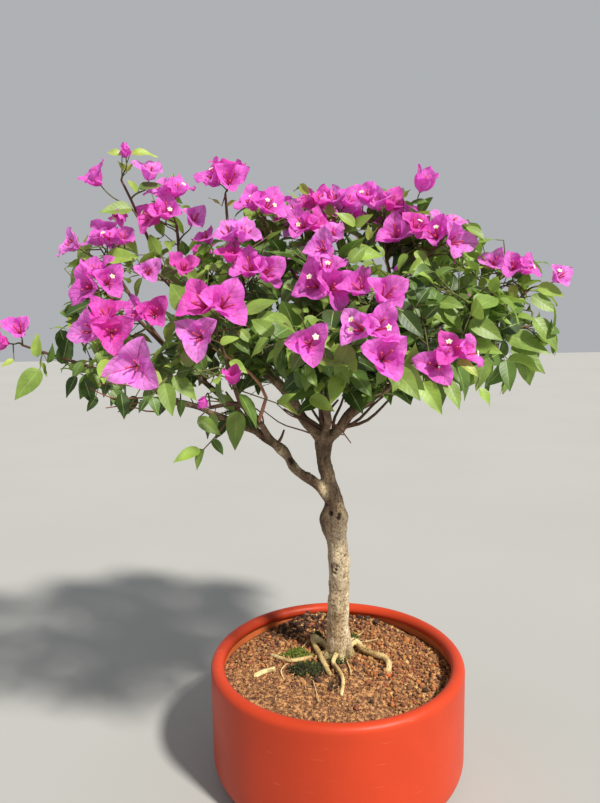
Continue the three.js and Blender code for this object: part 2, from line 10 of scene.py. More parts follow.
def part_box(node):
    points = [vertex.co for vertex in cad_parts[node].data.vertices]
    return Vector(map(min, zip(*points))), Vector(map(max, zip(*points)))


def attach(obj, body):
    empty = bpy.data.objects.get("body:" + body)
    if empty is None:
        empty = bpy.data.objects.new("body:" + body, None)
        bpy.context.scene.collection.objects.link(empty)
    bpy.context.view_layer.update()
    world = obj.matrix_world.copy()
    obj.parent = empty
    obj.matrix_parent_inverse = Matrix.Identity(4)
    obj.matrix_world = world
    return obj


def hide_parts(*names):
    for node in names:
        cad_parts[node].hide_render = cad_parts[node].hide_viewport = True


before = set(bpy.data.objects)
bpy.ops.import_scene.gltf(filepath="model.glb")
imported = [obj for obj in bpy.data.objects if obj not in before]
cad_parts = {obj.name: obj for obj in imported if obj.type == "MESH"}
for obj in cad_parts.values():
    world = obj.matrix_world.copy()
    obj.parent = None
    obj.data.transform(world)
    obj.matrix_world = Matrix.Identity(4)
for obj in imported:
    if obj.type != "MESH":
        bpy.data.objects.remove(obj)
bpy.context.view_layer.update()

MM = 0.001
UP = np.array([0.0, 0.0, 1.0])
TURN = 2 * math.pi

# The photograph's frame and camera: where it stands, how far it looks down and how much it is rolled.
IMAGE_WIDTH = 600
IMAGE_HEIGHT = 803
FOCAL_PIXELS = 690
CAMERA = np.array([-33.0, -660.4, 468.0])
CAMERA_DOWN = math.radians(7.7)
CAMERA_ROLL = math.radians(-0.95)
SENSOR = 36.0
CLIP_START = 0.01

# The pot and its filling, from the frame.
POT_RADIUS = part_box("pot")[1].x / MM
POT_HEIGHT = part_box("pot")[1].z / MM
POT_LIP = 13.5
POT_LIP_DEPTH = 9
POT_WALL = 10
POT_FOOT_ROUNDING = 25
SOIL_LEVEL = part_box("soil")[1].z / MM
SOIL_EDGE_LEVEL = 101

# The trunk from its cut on the soil to the upper fork: height, lean right, lean back, radius.
TRUNK = [
    [106.3, 3, 22, 17],
    [116, 3, 21.5, 13.6],
    [145, 2.5, 19, 11.6],
    [180, 4, 15, 10.6],
    [212, 4, 12, 11.1],
    [237, 1.5, 10, 10.3],
    [251, -0.6, 8.6, 13.4],
    [262, -1, 7.4, 13.6],
    [275, -1, 6, 9.8],
    [300, -6, 2, 6.9],
    [321, -10.5, 1, 7.2],
    [341, -10.5, 0, 9.2],
]

# Surface roots: name, bearings at which it leaves the trunk and ends, reach, rise, radius, sweep.
ROOTS = [
    ["root_left_arch", 205, 262, 50, 13, 3.6, -26],
    ["root_front", 262, 274, 68, 6, 2.6, 12],
    ["root_right", 330, 322, 50, 6, 4.2, 8],
    ["root_left_low", 215, 216, 66, 4, 2.8, 6],
]
# How each root runs on over the soil where it shows: pixels, and how high its middle lies on the soil.
ROOT_TRACKS = {
    "root_left_arch": [[313, 636, 9], [315, 645, 7], [320, 655, 5.5], [325.5, 666, 4], [330, 675, 0]],
    "root_front": [[333, 662, 5], [338, 669, 4.5], [343, 680, 3.5], [341.5, 695, 0]],
    "root_right": [[355, 641, 8], [363, 649, 5.5], [374, 654, 5], [385, 658, 4.5], [389, 665, 3],
                   [388, 672, -1]],
    "root_left_low": [[318, 655, 1], [303, 659, 1.6], [290, 660.5, 3.4], [281, 658.5, 3], [272, 655, 0]],
}
# Boughs: name, what it grows from and how far along, its tip's bearing, reach and height, radii, bow.
BOUGHS = [
    ["left_limb", "trunk", 0.72, 197, 84, 361, [7.0, 4.6], 2],
    ["left_low_bough", "left_limb", 0.93, 198, 158, 391, [3.8, 2.7], -5],
    ["left_front_bough", "left_limb", 0.72, 226, 118, 388, [3.4, 2.4], 5],
    ["left_back_bough", "left_limb", 0.84, 178, 146, 418, [3.4, 2.4], 6],
    ["upper_left_bough", "trunk", 0.975, 190, 76, 425, [5.6, 3.8], -6],
    ["upper_left_outer_bough", "upper_left_bough", 0.92, 176, 132, 470, [3.2, 2.3], 5],
    ["centre_bough", "trunk", 0.99, 130, 26, 448, [5.0, 3.0], 0],
    ["front_bough", "trunk", 0.965, 264, 74, 404, [4.4, 2.8], -6],
    ["right_bough", "trunk", 0.98, 330, 44, 388, [5.8, 4.4], -4],
    ["upper_right_bough", "right_bough", 0.9, 2, 60, 458, [3.4, 2.4], 3],
    ["right_outer_bough", "right_bough", 0.93, 354, 124, 430, [3.6, 2.6], -5],
    ["front_right_bough", "right_bough", 0.72, 296, 98, 402, [3.4, 2.4], 4],
    ["back_bough", "trunk", 0.955, 92, 84, 420, [4.4, 2.8], -5],
    ["back_left_bough", "upper_left_bough", 0.45, 143, 132, 426, [3.4, 2.5], -3],
    ["back_right_bough", "right_bough", 0.5, 42, 118, 424, [3.4, 2.5], -4],
]

# Masses: name, bough, its middle's bearing, reach and height, spread, twigs, blossoming twigs, tilt.
SHOOT = None
MASSES = [
    ["long_left_shoot", "left_low_bough", 184, 284, 436, 14, 4, 2, SHOOT],
    ["left_low_blossom", "left_low_bough", 197, 200, 452, 27, 4, 3, 25],
    ["big_front_left", "left_low_bough", 216, 190, 434, 26, 4, 2, 10],
    ["left_lower_leaves", "left_low_bough", 188, 200, 422, 28, 4, 0, 5],
    ["front_left_blossom", "left_front_bough", 227, 146, 462, 26, 4, 2, 25],
    ["front_left_leaves", "left_front_bough", 236, 148, 424, 28, 5, 1, 5],
    ["hanging_sprig", "left_front_bough", 217, 150, 384, 12, 3, 0, SHOOT],
    ["far_left_blossom", "left_back_bough", 174, 220, 522, 26, 4, 3, 55],
    ["left_blossom", "left_back_bough", 188, 212, 490, 26, 4, 2, 15],
    ["tall_left_shoot", "upper_left_outer_bough", 177, 192, 580, 22, 5, 4, SHOOT],
    ["upper_left_blossom", "upper_left_outer_bough", 171, 148, 556, 24, 4, 4, 60],
    ["centre_left_blossom", "upper_left_outer_bough", 194, 158, 500, 26, 4, 2, 35],
    ["upper_front_blossom", "upper_left_bough", 219, 98, 508, 26, 4, 3, 40],
    ["top_stalk", "upper_left_bough", 181, 99, 578, 12, 4, 3, SHOOT],
    ["top_left_blossom", "centre_bough", 152, 72, 546, 24, 4, 3, 65],
    ["top_centre_blossom", "centre_bough", 106, 54, 550, 26, 5, 5, 75],
    ["front_top_blossom", "centre_bough", 262, 86, 496, 26, 4, 2, 40],
    ["front_blossom", "front_bough", 260, 144, 446, 28, 5, 2, 15],
    ["front_low_leaves", "front_bough", 265, 112, 422, 26, 4, 0, 0],
    ["top_right_blossom", "upper_right_bough", 24, 50, 544, 26, 5, 5, 70],
    ["top_right_shoot", "upper_right_bough", 0, 88, 562, 12, 3, 1, SHOOT],
    ["upper_right_blossom", "upper_right_bough", 347, 98, 524, 26, 5, 4, 50],
    ["right_front_blossom", "right_bough", 286, 104, 480, 26, 4, 2, 30],
    ["front_right_blossom", "front_right_bough", 279, 160, 438, 26, 4, 3, 15],
    ["low_right_blossom", "front_right_bough", 302, 150, 438, 27, 4, 2, 15],
    ["right_lower_leaves", "right_outer_bough", 331, 142, 430, 28, 5, 0, 5],
    ["right_leaves", "right_outer_bough", 325, 122, 468, 30, 5, 0, 30],
    ["right_outer_leaves", "right_outer_bough", 354, 172, 448, 30, 5, 0, 5],
    ["right_top_blossom", "right_outer_bough", 5, 156, 492, 27, 4, 2, 45],
    ["right_tip_shoot", "right_outer_bough", 3, 186, 480, 16, 4, 1, SHOOT],
    ["back_top_blossom", "back_bough", 92, 118, 520, 34, 5, 3, 50],
    ["back_low_leaves", "back_bough", 90, 150, 448, 34, 5, 1, 10],
    ["back_left_blossom", "back_left_bough", 138, 154, 494, 34, 5, 3, 40],
    ["back_left_low_leaves", "back_left_bough", 138, 174, 438, 32, 5, 0, 5],
    ["back_right_blossom", "back_right_bough", 42, 144, 492, 34, 5, 3, 40],
    ["back_right_low_leaves", "back_right_bough", 46, 168, 440, 32, 5, 1, 5],
]
MASS_KEYS = ["name", "source", "bearing", "reach", "height", "spread", "twigs", "blossoms", "tilt"]
MASSES = [dict(zip(MASS_KEYS, row)) for row in MASSES]

# Blossoms that show in the photograph: pixel, bearing right of the camera, angle up, cups, bract
# length, and how far the bracts open, in degrees from the cup's axis.
CLOSED, HALF, OPEN, FLAT = -14, 22, 70, 84
SEEN_BLOSSOMS = [
    [126, 157, 0, 80, 1, 13, CLOSED], [98, 182, -45, 45, 1, 23, 60], [149, 176, 25, 60, 1, 23, 62],
    [122, 212, -20, -50, 1, 18, HALF], [171, 192, -10, 60, 2, 23, OPEN], [160, 216, -15, 30, 2, 24, OPEN],
    [193, 222, 30, 35, 1, 20, 62], [224, 176, -10, 50, 3, 25, OPEN], [76, 246, -50, 30, 1, 22, OPEN],
    [103, 241, -20, 60, 2, 21, OPEN], [124, 241, 10, 55, 1, 21, OPEN], [98, 280, -5, 30, 3, 25, OPEN],
    [148, 274, 20, 20, 1, 18, OPEN], [183, 270, 20, 40, 1, 22, OPEN], [208, 241, -40, 50, 1, 19, OPEN],
    [236, 236, 0, 60, 2, 22, OPEN], [260, 206, 10, 40, 2, 26, OPEN], [232, 259, -20, 55, 1, 21, OPEN],
    [258, 272, 15, 30, 2, 26, OPEN], [214, 305, 5, 30, 2, 28, OPEN], [148, 314, -15, 20, 2, 24, OPEN],
    [103, 326, -10, 25, 3, 25, OPEN], [135, 366, -5, 5, 1, 31, FLAT], [200, 337, -10, 12, 1, 25, FLAT],
    [5, 343, -40, 10, 1, 22, OPEN], [20, 333, 10, 40, 1, 21, 50], [293, 218, -20, 45, 1, 23, OPEN],
    [309, 226, 15, 35, 2, 24, OPEN], [331, 240, 0, 50, 1, 22, OPEN], [316, 203, -30, 50, 2, 22, 56],
    [341, 202, 10, 55, 2, 22, 56], [364, 200, 10, 50, 1, 23, 50], [384, 205, 5, 48, 2, 24, 60],
    [396, 237, -20, 35, 1, 26, OPEN], [415, 230, 10, 50, 1, 22, OPEN], [446, 234, 10, 35, 3, 26, OPEN],
    [324, 250, -20, 20, 1, 20, OPEN], [325, 281, 0, 28, 3, 25, OPEN], [362, 290, -30, 35, 1, 24, OPEN],
    [384, 298, 20, 35, 1, 25, OPEN], [310, 343, 5, 8, 1, 24, 76], [369, 328, -5, 25, 2, 23, OPEN],
    [384, 358, 10, 15, 1, 28, 62], [436, 366, -15, 12, 1, 24, FLAT], [457, 352, 25, 30, 2, 21, OPEN],
    [494, 265, -20, 35, 1, 21, OPEN], [519, 268, 15, 40, 2, 22, OPEN], [556, 279, 30, 35, 1, 21, OPEN],
    [422, 187, 40, 60, 1, 26, HALF], [205, 398, -20, -40, 1, 12, CLOSED], [233, 382, 10, 60, 1, 16, HALF],
]
# Leaves that show: the pixels of the blade's base and tip, and its tone; the deep tone is partly painted
# shade, on leaves that lie in shade.
DEEP_AND_SHADE, MID, BRIGHT, FRESH, YOUNG = "leaf_deep", "leaf_mid", "leaf_bright", "leaf_fresh", "leaf_young"
SEEN_LEAVES = [
    [127, 172, 119, 161, YOUNG], [127, 172, 134, 162, YOUNG], [122, 154, 107, 151, YOUNG],
    [130, 154, 156, 152, YOUNG], [138, 192, 128, 180, FRESH], [139, 188, 161, 184, MID],
    [132, 208, 101, 210, BRIGHT], [222, 206, 210, 196, YOUNG],
    [227, 206, 235, 199, YOUNG], [106, 258, 137, 256, FRESH], [244, 313, 275, 297, BRIGHT],
    [283, 287, 305, 294, BRIGHT], [256, 320, 281, 314, BRIGHT], [239, 330, 252, 343, BRIGHT],
    [220, 343, 237, 336, FRESH], [230, 361, 247, 372, FRESH], [183, 353, 211, 357, MID],
    [173, 376, 197, 398, BRIGHT], [164, 383, 172, 414, BRIGHT], [152, 371, 164, 387, YOUNG],
    [101, 369, 83, 391, BRIGHT], [121, 393, 125, 418, DEEP_AND_SHADE], [60, 330, 71, 360, DEEP_AND_SHADE],
    [69, 369, 88, 359, YOUNG], [198, 418, 220, 434, BRIGHT], [237, 411, 234, 448, BRIGHT],
    [240, 394, 258, 425, MID], [277, 401, 298, 411, YOUNG], [279, 404, 294, 393, FRESH],
    [221, 396, 235, 411, BRIGHT], [200, 449, 174, 459, FRESH], [203, 449, 194, 468, BRIGHT],
    [212, 440, 224, 453, MID], [331, 216, 329, 200, YOUNG], [355, 226, 371, 214, FRESH],
    [355, 226, 338, 211, FRESH], [369, 240, 369, 225, YOUNG], [300, 184, 310, 196, YOUNG],
    [411, 204, 429, 199, MID], [403, 198, 409, 189, YOUNG], [466, 227, 487, 238, BRIGHT],
    [468, 273, 473, 297, BRIGHT], [483, 265, 496, 268, YOUNG], [513, 284, 514, 301, YOUNG],
    [538, 286, 563, 295, FRESH], [531, 296, 557, 311, BRIGHT], [534, 318, 560, 347, BRIGHT],
    [506, 335, 549, 348, BRIGHT], [512, 345, 545, 369, BRIGHT], [524, 355, 530, 385, BRIGHT],
    [506, 360, 510, 389, MID], [470, 321, 503, 337, BRIGHT], [472, 342, 500, 352, FRESH],
    [458, 361, 479, 373, YOUNG], [486, 357, 477, 389, BRIGHT], [479, 388, 492, 404, FRESH],
    [446, 380, 461, 406, BRIGHT], [423, 382, 441, 412, FRESH], [397, 377, 394, 392, BRIGHT],
    [351, 371, 372, 394, MID], [341, 374, 331, 402, FRESH], [310, 397, 333, 410, FRESH],
    [304, 366, 317, 386, BRIGHT], [386, 323, 403, 338, FRESH], [401, 312, 423, 336, DEEP_AND_SHADE],
    [430, 309, 452, 323, BRIGHT], [445, 307, 464, 329, BRIGHT], [437, 302, 463, 304, BRIGHT],
    [407, 254, 397, 268, FRESH], [414, 252, 431, 264, FRESH], [386, 284, 406, 275, FRESH],
    [37, 357, 36, 334, FRESH], [48, 363, 54, 345, MID], [62, 364, 69, 335, DEEP_AND_SHADE],
    [40, 362, 48, 375, BRIGHT], [40, 369, 15, 398, BRIGHT], [14, 360, 1, 366, YOUNG],
    [70, 366, 89, 371, FRESH], [86, 370, 105, 389, BRIGHT], [84, 380, 93, 403, DEEP_AND_SHADE],
    [112, 390, 129, 412, MID], [152, 397, 159, 414, MID], [146, 400, 138, 412, DEEP_AND_SHADE],
    [98, 384, 86, 394, MID], [66, 316, 92, 300, DEEP_AND_SHADE], [60, 312, 84, 318, MID],
    [76, 376, 66, 396, DEEP_AND_SHADE], [92, 374, 80, 398, MID], [108, 376, 104, 396, DEEP_AND_SHADE],
    [120, 386, 110, 404, MID], [96, 396, 88, 411, DEEP_AND_SHADE], [136, 396, 126, 414, DEEP_AND_SHADE],
    [150, 388, 145, 406, MID], [82, 362, 72, 378, MID], [166, 396, 160, 414, DEEP_AND_SHADE],
    [182, 400, 180, 416, MID],
]
# A stalk that runs up before the leaves, as pixels: nothing hides it.
FRONT_STALK = [[259, 422], [263, 408], [266, 394], [257, 381], [247, 370], [230, 358], [213, 348]]
# The crown's outline in the photograph: leaves and hidden blossoms keep inside it.
CROWN_OUTLINE = [
    [57, 362], [56, 322], [60, 300], [68, 288], [62, 262], [58, 242], [66, 234], [92, 226], [128, 232],
    [150, 224], [153, 182], [165, 172], [190, 180], [196, 204], [196, 236], [212, 236], [232, 230],
    [236, 200], [262, 186], [283, 196], [300, 182], [330, 188], [372, 187], [398, 184], [412, 196],
    [430, 196], [440, 214], [470, 222], [490, 235], [490, 250], [535, 254], [568, 264], [572, 290],
    [563, 300], [564, 346], [548, 374], [532, 388], [512, 392], [492, 407], [478, 398], [462, 409],
    [442, 415], [424, 402], [394, 396], [372, 398], [352, 414], [330, 414], [300, 406], [278, 412],
    [260, 430], [240, 450], [224, 458], [202, 472], [170, 462], [192, 444], [184, 420], [172, 412],
    [150, 412], [128, 420], [100, 404], [80, 394], [62, 376],
]
# Where the photograph looks right through the crown: pixel and radius in pixels.
CROWN_GAPS = [
    [116, 262, 5], [128, 287, 6], [146, 287, 6], [166, 290, 5], [141, 303, 6], [127, 307, 4], [337, 319, 4],
    [362, 269, 5], [381, 282, 5], [406, 308, 4], [431, 327, 4], [338, 238, 5], [228, 200, 8], [197, 222, 7],
    [250, 236, 4], [302, 236, 4], [214, 212, 6], [134, 234, 5], [178, 246, 4], [288, 232, 4],
]
# Thicker brown twigs in the shade round the forks, and fine red ones, as pixels along each.
SHADED_TWIGS = [
    [[340, 437], [351, 417], [362, 400]], [[346, 435], [366, 421], [386, 403], [396, 391]],
    [[329, 434], [312, 421], [290, 409]], [[327, 430], [321, 415], [322, 402]],
    [[275, 446], [281, 438], [284, 430]], [[270, 440], [262, 424], [252, 408]],
    [[262, 434], [244, 426], [222, 415], [196, 408]], [[254, 428], [238, 408], [226, 392]],
    [[343, 420], [352, 408], [374, 398]], [[333, 424], [330, 410], [338, 400]],
    [[338, 437], [346, 420], [353, 405], [358, 393]], [[343, 436], [357, 421], [373, 405], [386, 394]],
    [[334, 436], [334, 420], [341, 405], [345, 392]], [[329, 434], [320, 421], [312, 409], [308, 398]],
    [[326, 434], [312, 426], [298, 417], [284, 409]],
]
SEEN_TWIGS = [
    [[160, 402], [138, 398], [112, 398], [90, 388]], [[176, 410], [152, 412], [130, 407], [118, 412]],
    [[168, 404], [146, 390], [120, 384], [98, 384]], [[150, 398], [132, 404], [106, 408]],
    [[242, 406], [229, 419], [216, 436], [203, 450]],
    [[322, 437], [333, 433], [344, 435]], [[327, 419], [340, 429], [351, 443]],
    [[347, 410], [346, 421], [344, 432]], [[385, 277], [371, 257], [356, 236]],
    [[318, 438], [301, 430], [282, 424], [264, 411]], [[322, 434], [310, 419], [294, 407]],
    [[341, 432], [352, 418], [368, 405], [380, 390]], [[333, 433], [341, 421], [352, 404]],
    [[268, 427], [261, 413], [248, 404]], [[297, 427], [290, 415], [277, 404]],
    [[243, 414], [228, 402], [207, 397]], [[262, 420], [244, 404], [222, 402], [200, 400]],
    [[330, 430], [326, 416], [316, 402]],
]

# The part's rule for limbs and twigs, with the same seeds. Lengths in mm, and shares of a limb's length.
SEED = 1907
SEED_PER_MASS = 101
SEED_PER_TWIG = 7
TURN_PER_MASS = 1.3
GOLDEN_ANGLE = math.radians(137.508)
HEART = np.array([-10.0, 0.0, 380.0])
BOUGH_FOLLOWS = 0.12
STEM_RADII = [2.3, 1.1]
STEM_SUNK = 0.6
STEM_FOLLOWS = [0.9, 1.1]
STEM_TWIG_AT = 0.75
TWIG_RADII = [1.0, 0.55]
TWIG_TURNS_BY = [-0.3, 0.3]
TWIG_ANGLES = [math.radians(48), math.radians(112)]
TWIG_WIDENS_BY = [0.92, 1.08]
TWIG_LENGTHS = [0.85, 1.15]
TWIGS_LEAVE_AT = {"mass": [0.82, 0.5], "shoot": [0.92, 0.4]}
WIDEST_ON_SHOOT = math.radians(66)
STEEPEST_FALL = -0.3
# A twig that has no room is tried shorter. Its room is its mass's own, clear of other limbs.
SHORTER = [1, 0.75, 0.5]
TWIG_TESTED_AT = np.array([0.4, 0.6, 0.8, 1.0])
SHOOT_CLAIM = 6
REACH_PAST_TWIGS = 46
SPACE_MARGIN = 0.45
LIMB_CLEARANCE = 1.6

# What the rule is carried on to: bends in the boughs, finer twigs, and leaves.
BOUGHS_WANDER = 2.2
LEFT_LIMB_SAGS = 5
TWIG_ROWS = 8
SPRAYS_PER_TWIG = 4
SPRAY_LENGTH = [20, 36]
SPRAY_RADII = [0.7, 0.35]
LEAF_LENGTH = [17, 33]
LEAF_WIDTH = 0.56
LEAF_SPACING = 5.6
PETIOLE = 6
# Degrees at which leaves and sprays leave their twig, and its end leaf, which is smaller.
LEAVES_LEAVE_AT = [45, 75]
END_LEAF_LEAVES_AT = 18
END_LEAF_SIZE = 0.65
# Boughs inside the crown, whose twigs fill it towards the light, and how many sprays some boughs have.
INNER_BOUGHS = ["centre_bough", "upper_left_bough", "upper_right_bough", "back_bough", "right_bough"]
BOUGH_SPRAYS = {"back_bough": 14, "back_left_bough": 16, "back_right_bough": 14, "left_back_bough": 9,
                "right_outer_bough": 8, "front_right_bough": 8}
# Leaves end above the crown's underside, which wavers a little, apart from the sprig that hangs.
UNDERSIDE = 387
UNDERSIDE_WAVERS = 8
HANGING_ROOM = 48
LEAF_CLEARANCE = 2
# Thin patches in the crown: how fine they are, and how much of it they take.
THIN_PATCHES = 0.045
THINNED_BELOW = -0.22
THINNED_MORE_LEFT = 0.16

# How what the photograph shows is placed: on masses whose middles are in front of this, lower ones
# further out, before the limbs, though never brought forward by more than the last.
FRONT_MASSES = 60
LOWER_STAND_OUT = 0.45
LIMBS_BEHIND = 7
MOST_FORWARD = 40
TWIGS_IN_FRONT = 8
STALKS_PASS_BEHIND = 6
# Where a twig is tested for passing before it, and the room that the front stalk keeps.
SIGHT_TESTED_AT = np.array([0.35, 0.6, 0.8, 1.0])
STALK_SHOWS = 7
# Radii of the twigs that the photograph shows bare, and of the stalks of blossoms.
SHADED_TWIG_RADII = [1.9, 1.0]
SEEN_TWIG_RADII = [0.9, 0.5]
FRONT_STALK_RADII = [2.0, 0.9]
BLOSSOM_STALK_RADII = [1.0, 0.6]
# The rule's own blossoms: cups to draw from, bract length, and the pixels that those in front keep
# away from the ones that show.
HIDDEN_CUPS = [1, 2, 2, 3]
HIDDEN_BRACTS = [21, 26]
SEEN_KEEP_CLEAR = 34

# Colours of the pieces, as seen in full light (sRGB); some also carry painted shade or light, as said where
# they are used.
COLOURS = {
    "pot": (0.73, 0.235, 0.12),
    # the inside's tone: dust, and painted light where sun falls on the inner wall
    "pot_dusty_and_lit": (0.80, 0.42, 0.23),
    "pot_worn": (0.86, 0.50, 0.38),
    "soil_dark": (0.30, 0.18, 0.11),
    "soil_fine": (0.50, 0.34, 0.22),
    "soil_pale": (0.76, 0.56, 0.36),
    "bark_low": (0.93, 0.88, 0.77),
    "bark_low_dark": (0.77, 0.71, 0.60),
    # the higher bark's tones: its own darker brown, and painted shade under the crown
    "bark_high_and_shade": (0.60, 0.52, 0.42),
    "bark_high_and_shade_dark": (0.33, 0.25, 0.18),
    # paler bark, which on the left limb is painted light on its top
    "bark_pale_and_lit": (0.93, 0.86, 0.70),
    # painted shade for the hollows of the bark's relief
    "bark_hollow_shade": (0.34, 0.27, 0.21),
    "bark_stain": (0.80, 0.75, 0.68),
    "bark_soil": (0.76, 0.72, 0.52),
    "bark_pores": (0.70, 0.64, 0.56),
    "root": (0.92, 0.85, 0.64),
    "root_dark": (0.74, 0.63, 0.42),
    "root_pores": (0.80, 0.75, 0.66),
    "brown_twig": (0.36, 0.26, 0.18),
    "green_twig": (0.36, 0.37, 0.18),
    "red_stalk": (0.50, 0.31, 0.24),
    "pale_stalk": (0.74, 0.53, 0.42),
    # deep green, partly the leaves' own and partly painted shade
    "leaf_deep": (0.22, 0.31, 0.13),
    "leaf_mid": (0.34, 0.45, 0.19),
    "leaf_bright": (0.47, 0.57, 0.25),
    "leaf_fresh": (0.55, 0.66, 0.28),
    "leaf_young": (0.60, 0.67, 0.30),
    "leaf_rib": (0.56, 0.64, 0.36),
    "bract_pink": (0.95, 0.44, 0.86),
    "bract_deep": (0.91, 0.35, 0.78),
    "bract_light": (0.97, 0.54, 0.90),
    "bract_rib": (0.88, 0.31, 0.68),
    "flower_tube": (0.80, 0.30, 0.42),
    "flower_star": (0.98, 0.96, 0.86),
    "flower_throat": (0.84, 0.80, 0.45),
    "floor": (0.64, 0.64, 0.63),
}


def linear(colour):
    """An sRGB colour as the linear values that shaders take, and full alpha."""
    return (*(c / 12.92 if c <= 0.04045 else ((c + 0.055) / 1.055) ** 2.4 for c in colour), 1)


def shade(colour, factor):
    return tuple(min(c * factor, 1) for c in colour)


def mix(a, b, t):
    return a + (b - a) * t


def clamp(value, low=0, high=1):
    return min(max(value, low), high)


def norm(v):
    return np.linalg.norm(v, axis=-1)


def unit(v):
    return v / np.linalg.norm(v, axis=-1, keepdims=True)


def polar(bearing, reach, height):
    angle = math.radians(bearing)
    return np.array([reach * math.cos(angle), reach * math.sin(angle), height])


def circle(angles, a, b):
    """Points round an ellipse whose half axes are a and b."""
    return np.outer(np.cos(angles), a) + np.outer(np.sin(angles), b)


def lean(axis, angle, turn):
    """A direction at an angle from an axis, turned about it. Turn 0 leans towards straight up."""
    side = np.cross(axis, UP)
    side = unit(side) if side @ side > 1e-6 else np.array([1.0, 0.0, 0.0])
    rise = np.cross(side, axis)
    tilted = rise * math.cos(turn) + side * math.sin(turn)
    return axis * math.cos(angle) + tilted * math.sin(angle)


def not_steep(heading):
    """The heading, raised where it falls too steeply for a twig."""
    heading[2] = max(heading[2], STEEPEST_FALL)
    return unit(heading)


def placed(name, data):
    """A new object for a mesh, lamp or camera, put in the scene."""
    thing = bpy.data.objects.new(name, data)
    bpy.context.scene.collection.objects.link(thing)
    return thing


def seeded(seed):
    """The part's own small random generator, so that each twig grows again as it did there."""
    mask = 0xFFFFFFFF
    state = seed & mask

    def draw():
        nonlocal state
        state = (state + 0x6D2B79F5) & mask
        t = ((state ^ (state >> 15)) * (state | 1)) & mask
        t ^= (t + (((t ^ (t >> 7)) * (t | 61)) & mask)) & mask
        return ((t ^ (t >> 14)) & mask) / 4294967296

    return draw


# Curves, read by their length as the part reads them.

CURVE_DIVISIONS = 200
CURVE_NUDGE = 1e-4


class Curve:
    def __init__(self, place):
        self.place = place
        self.ticks = np.linspace(0, 1, CURVE_DIVISIONS + 1)
        steps = norm(np.diff(place(self.ticks), axis=0))
        self.lengths = np.concatenate([[0], np.cumsum(steps)])

    def at(self, share):
        return self.place(self.tick(share))

    def tick(self, share):
        return np.interp(np.asarray(share) * self.lengths[-1], self.lengths, self.ticks)

    def heading(self, share):
        t = self.tick(share)
        ahead = self.place(np.minimum(t + CURVE_NUDGE, 1))
        return unit(ahead - self.place(np.maximum(t - CURVE_NUDGE, 0)))


def bezier(*points):
    """A Bezier curve through its first and last point, of any degree."""
    degree = len(points) - 1

    def place(t):
        t = np.asarray(t)[..., None]
        terms = [math.comb(degree, k) * (1 - t) ** (degree - k) * t ** k * p for k, p in enumerate(points)]
        return sum(terms)

    return Curve(place)


def catmull_rom(points):
    """The centripetal curve through all the points."""
    points = np.array(points, dtype=float)
    padded = np.vstack([2 * points[0] - points[1], points, 2 * points[-1] - points[-2]])

    def place(t):
        along = np.asarray(t) * (len(points) - 1)
        first = np.minimum(np.floor(along), len(points) - 2).astype(int)
        w = (along - first)[..., None]
        a, b, c, d = [padded[first + k] for k in range(4)]
        ab, bc, cd = [norm(q - p)[..., None] ** 0.5 for p, q in ((a, b), (b, c), (c, d))]
        leaving = ((b - a) / ab - (c - a) / (ab + bc) + (c - b) / bc) * bc
        arriving = ((c - b) / bc - (d - b) / (bc + cd) + (d - c) / cd) * bc
        square = -3 * b + 3 * c - 2 * leaving - arriving
        cube = 2 * b - 2 * c + leaving + arriving
        return b + leaving * w + square * w ** 2 + cube * w ** 3

    return Curve(place)


# Limbs: each one's curve, and its radius at a share of the way.

limbs = {}


def wandering(curve, seed, aside, sag):
    """The curve with slow bends to the side and a sag, both ends kept where they are."""
    rng = np.random.default_rng(seed)
    phases = rng.uniform(0, TURN, 3)
    waves = rng.uniform(1.2, 2.2, 3)

    def place(t):
        t = np.asarray(t)[..., None]
        bends = np.sin(TURN * waves * t + phases) * aside
        return curve.place(t[..., 0]) + (bends - UP * sag) * np.sin(math.pi * t)

    return Curve(place)


class Limb:
    def __init__(self, curve, radius, steps):
        self.curve = curve
        self.radius = radius
        self.spine = curve.at(np.linspace(0, 1, steps + 1))
        self.widths = np.array([radius(i / steps) for i in range(steps + 1)])


def trunk_radius(share):
    height = trunk_curve.at(share)[2]
    above = next(i for i, row in enumerate(TRUNK) if i and row[0] >= height - 0.02)
    low, high = TRUNK[above - 1], TRUNK[above]
    t = clamp((height - low[0]) / (high[0] - low[0]))
    return mix(low[3], high[3], t * t * (3 - 2 * t))


def root_curve(leave, bearing, reach, rise, radius, sweep):
    foot = np.array([TRUNK[0][1], TRUNK[0][2], SOIL_LEVEL])
    start = foot + polar(leave, 9, 9)
    end = foot + polar(bearing, reach, radius * 0.4)
    middle = mix(start, end, 0.45) + polar(bearing + 90, sweep, 0)
    middle[2] = SOIL_LEVEL + radius + rise
    return bezier(start, middle, end)


def bough_curve(source, at, bearing, reach, height, bow):
    parent = limbs[source].curve
    start = parent.at(at)
    tip = polar(bearing, reach, height)
    middle = mix(start, tip, 0.5) + parent.heading(at) * norm(tip - start) * BOUGH_FOLLOWS
    middle[2] += bow
    return bezier(start, middle, tip)


def outlook(mass):
    """Which way a mass looks: outwards from the crown's heart, tilted up as its row says."""
    middle = polar(mass["bearing"], mass["reach"], mass["height"])
    if mass["tilt"] is SHOOT:
        return unit(middle - limbs[mass["source"]].curve.at(1))
    flat = unit((middle - HEART) * [1, 1, 0])
    tilt = math.radians(mass["tilt"])
    return flat * math.cos(tilt) + UP * math.sin(tilt)


def stem_curve(mass):
    """A stem leaves its bough's tip the way the bough points, and runs past its mass's middle."""
    bough = limbs[mass["source"]]
    heading = bough.curve.heading(1)
    out = outlook(mass)
    start = bough.curve.at(1) - heading * bough.radius(1) * STEM_SUNK
    end = polar(mass["bearing"], mass["reach"], mass["height"]) + out * mass["spread"]
    third = norm(end - start) / 3
    leaves, arrives = STEM_FOLLOWS
    return bezier(start, start + heading * third * leaves, end - out * third * arrives, end)


def tapered(radii):
    return lambda share: mix(radii[0], radii[1], share)


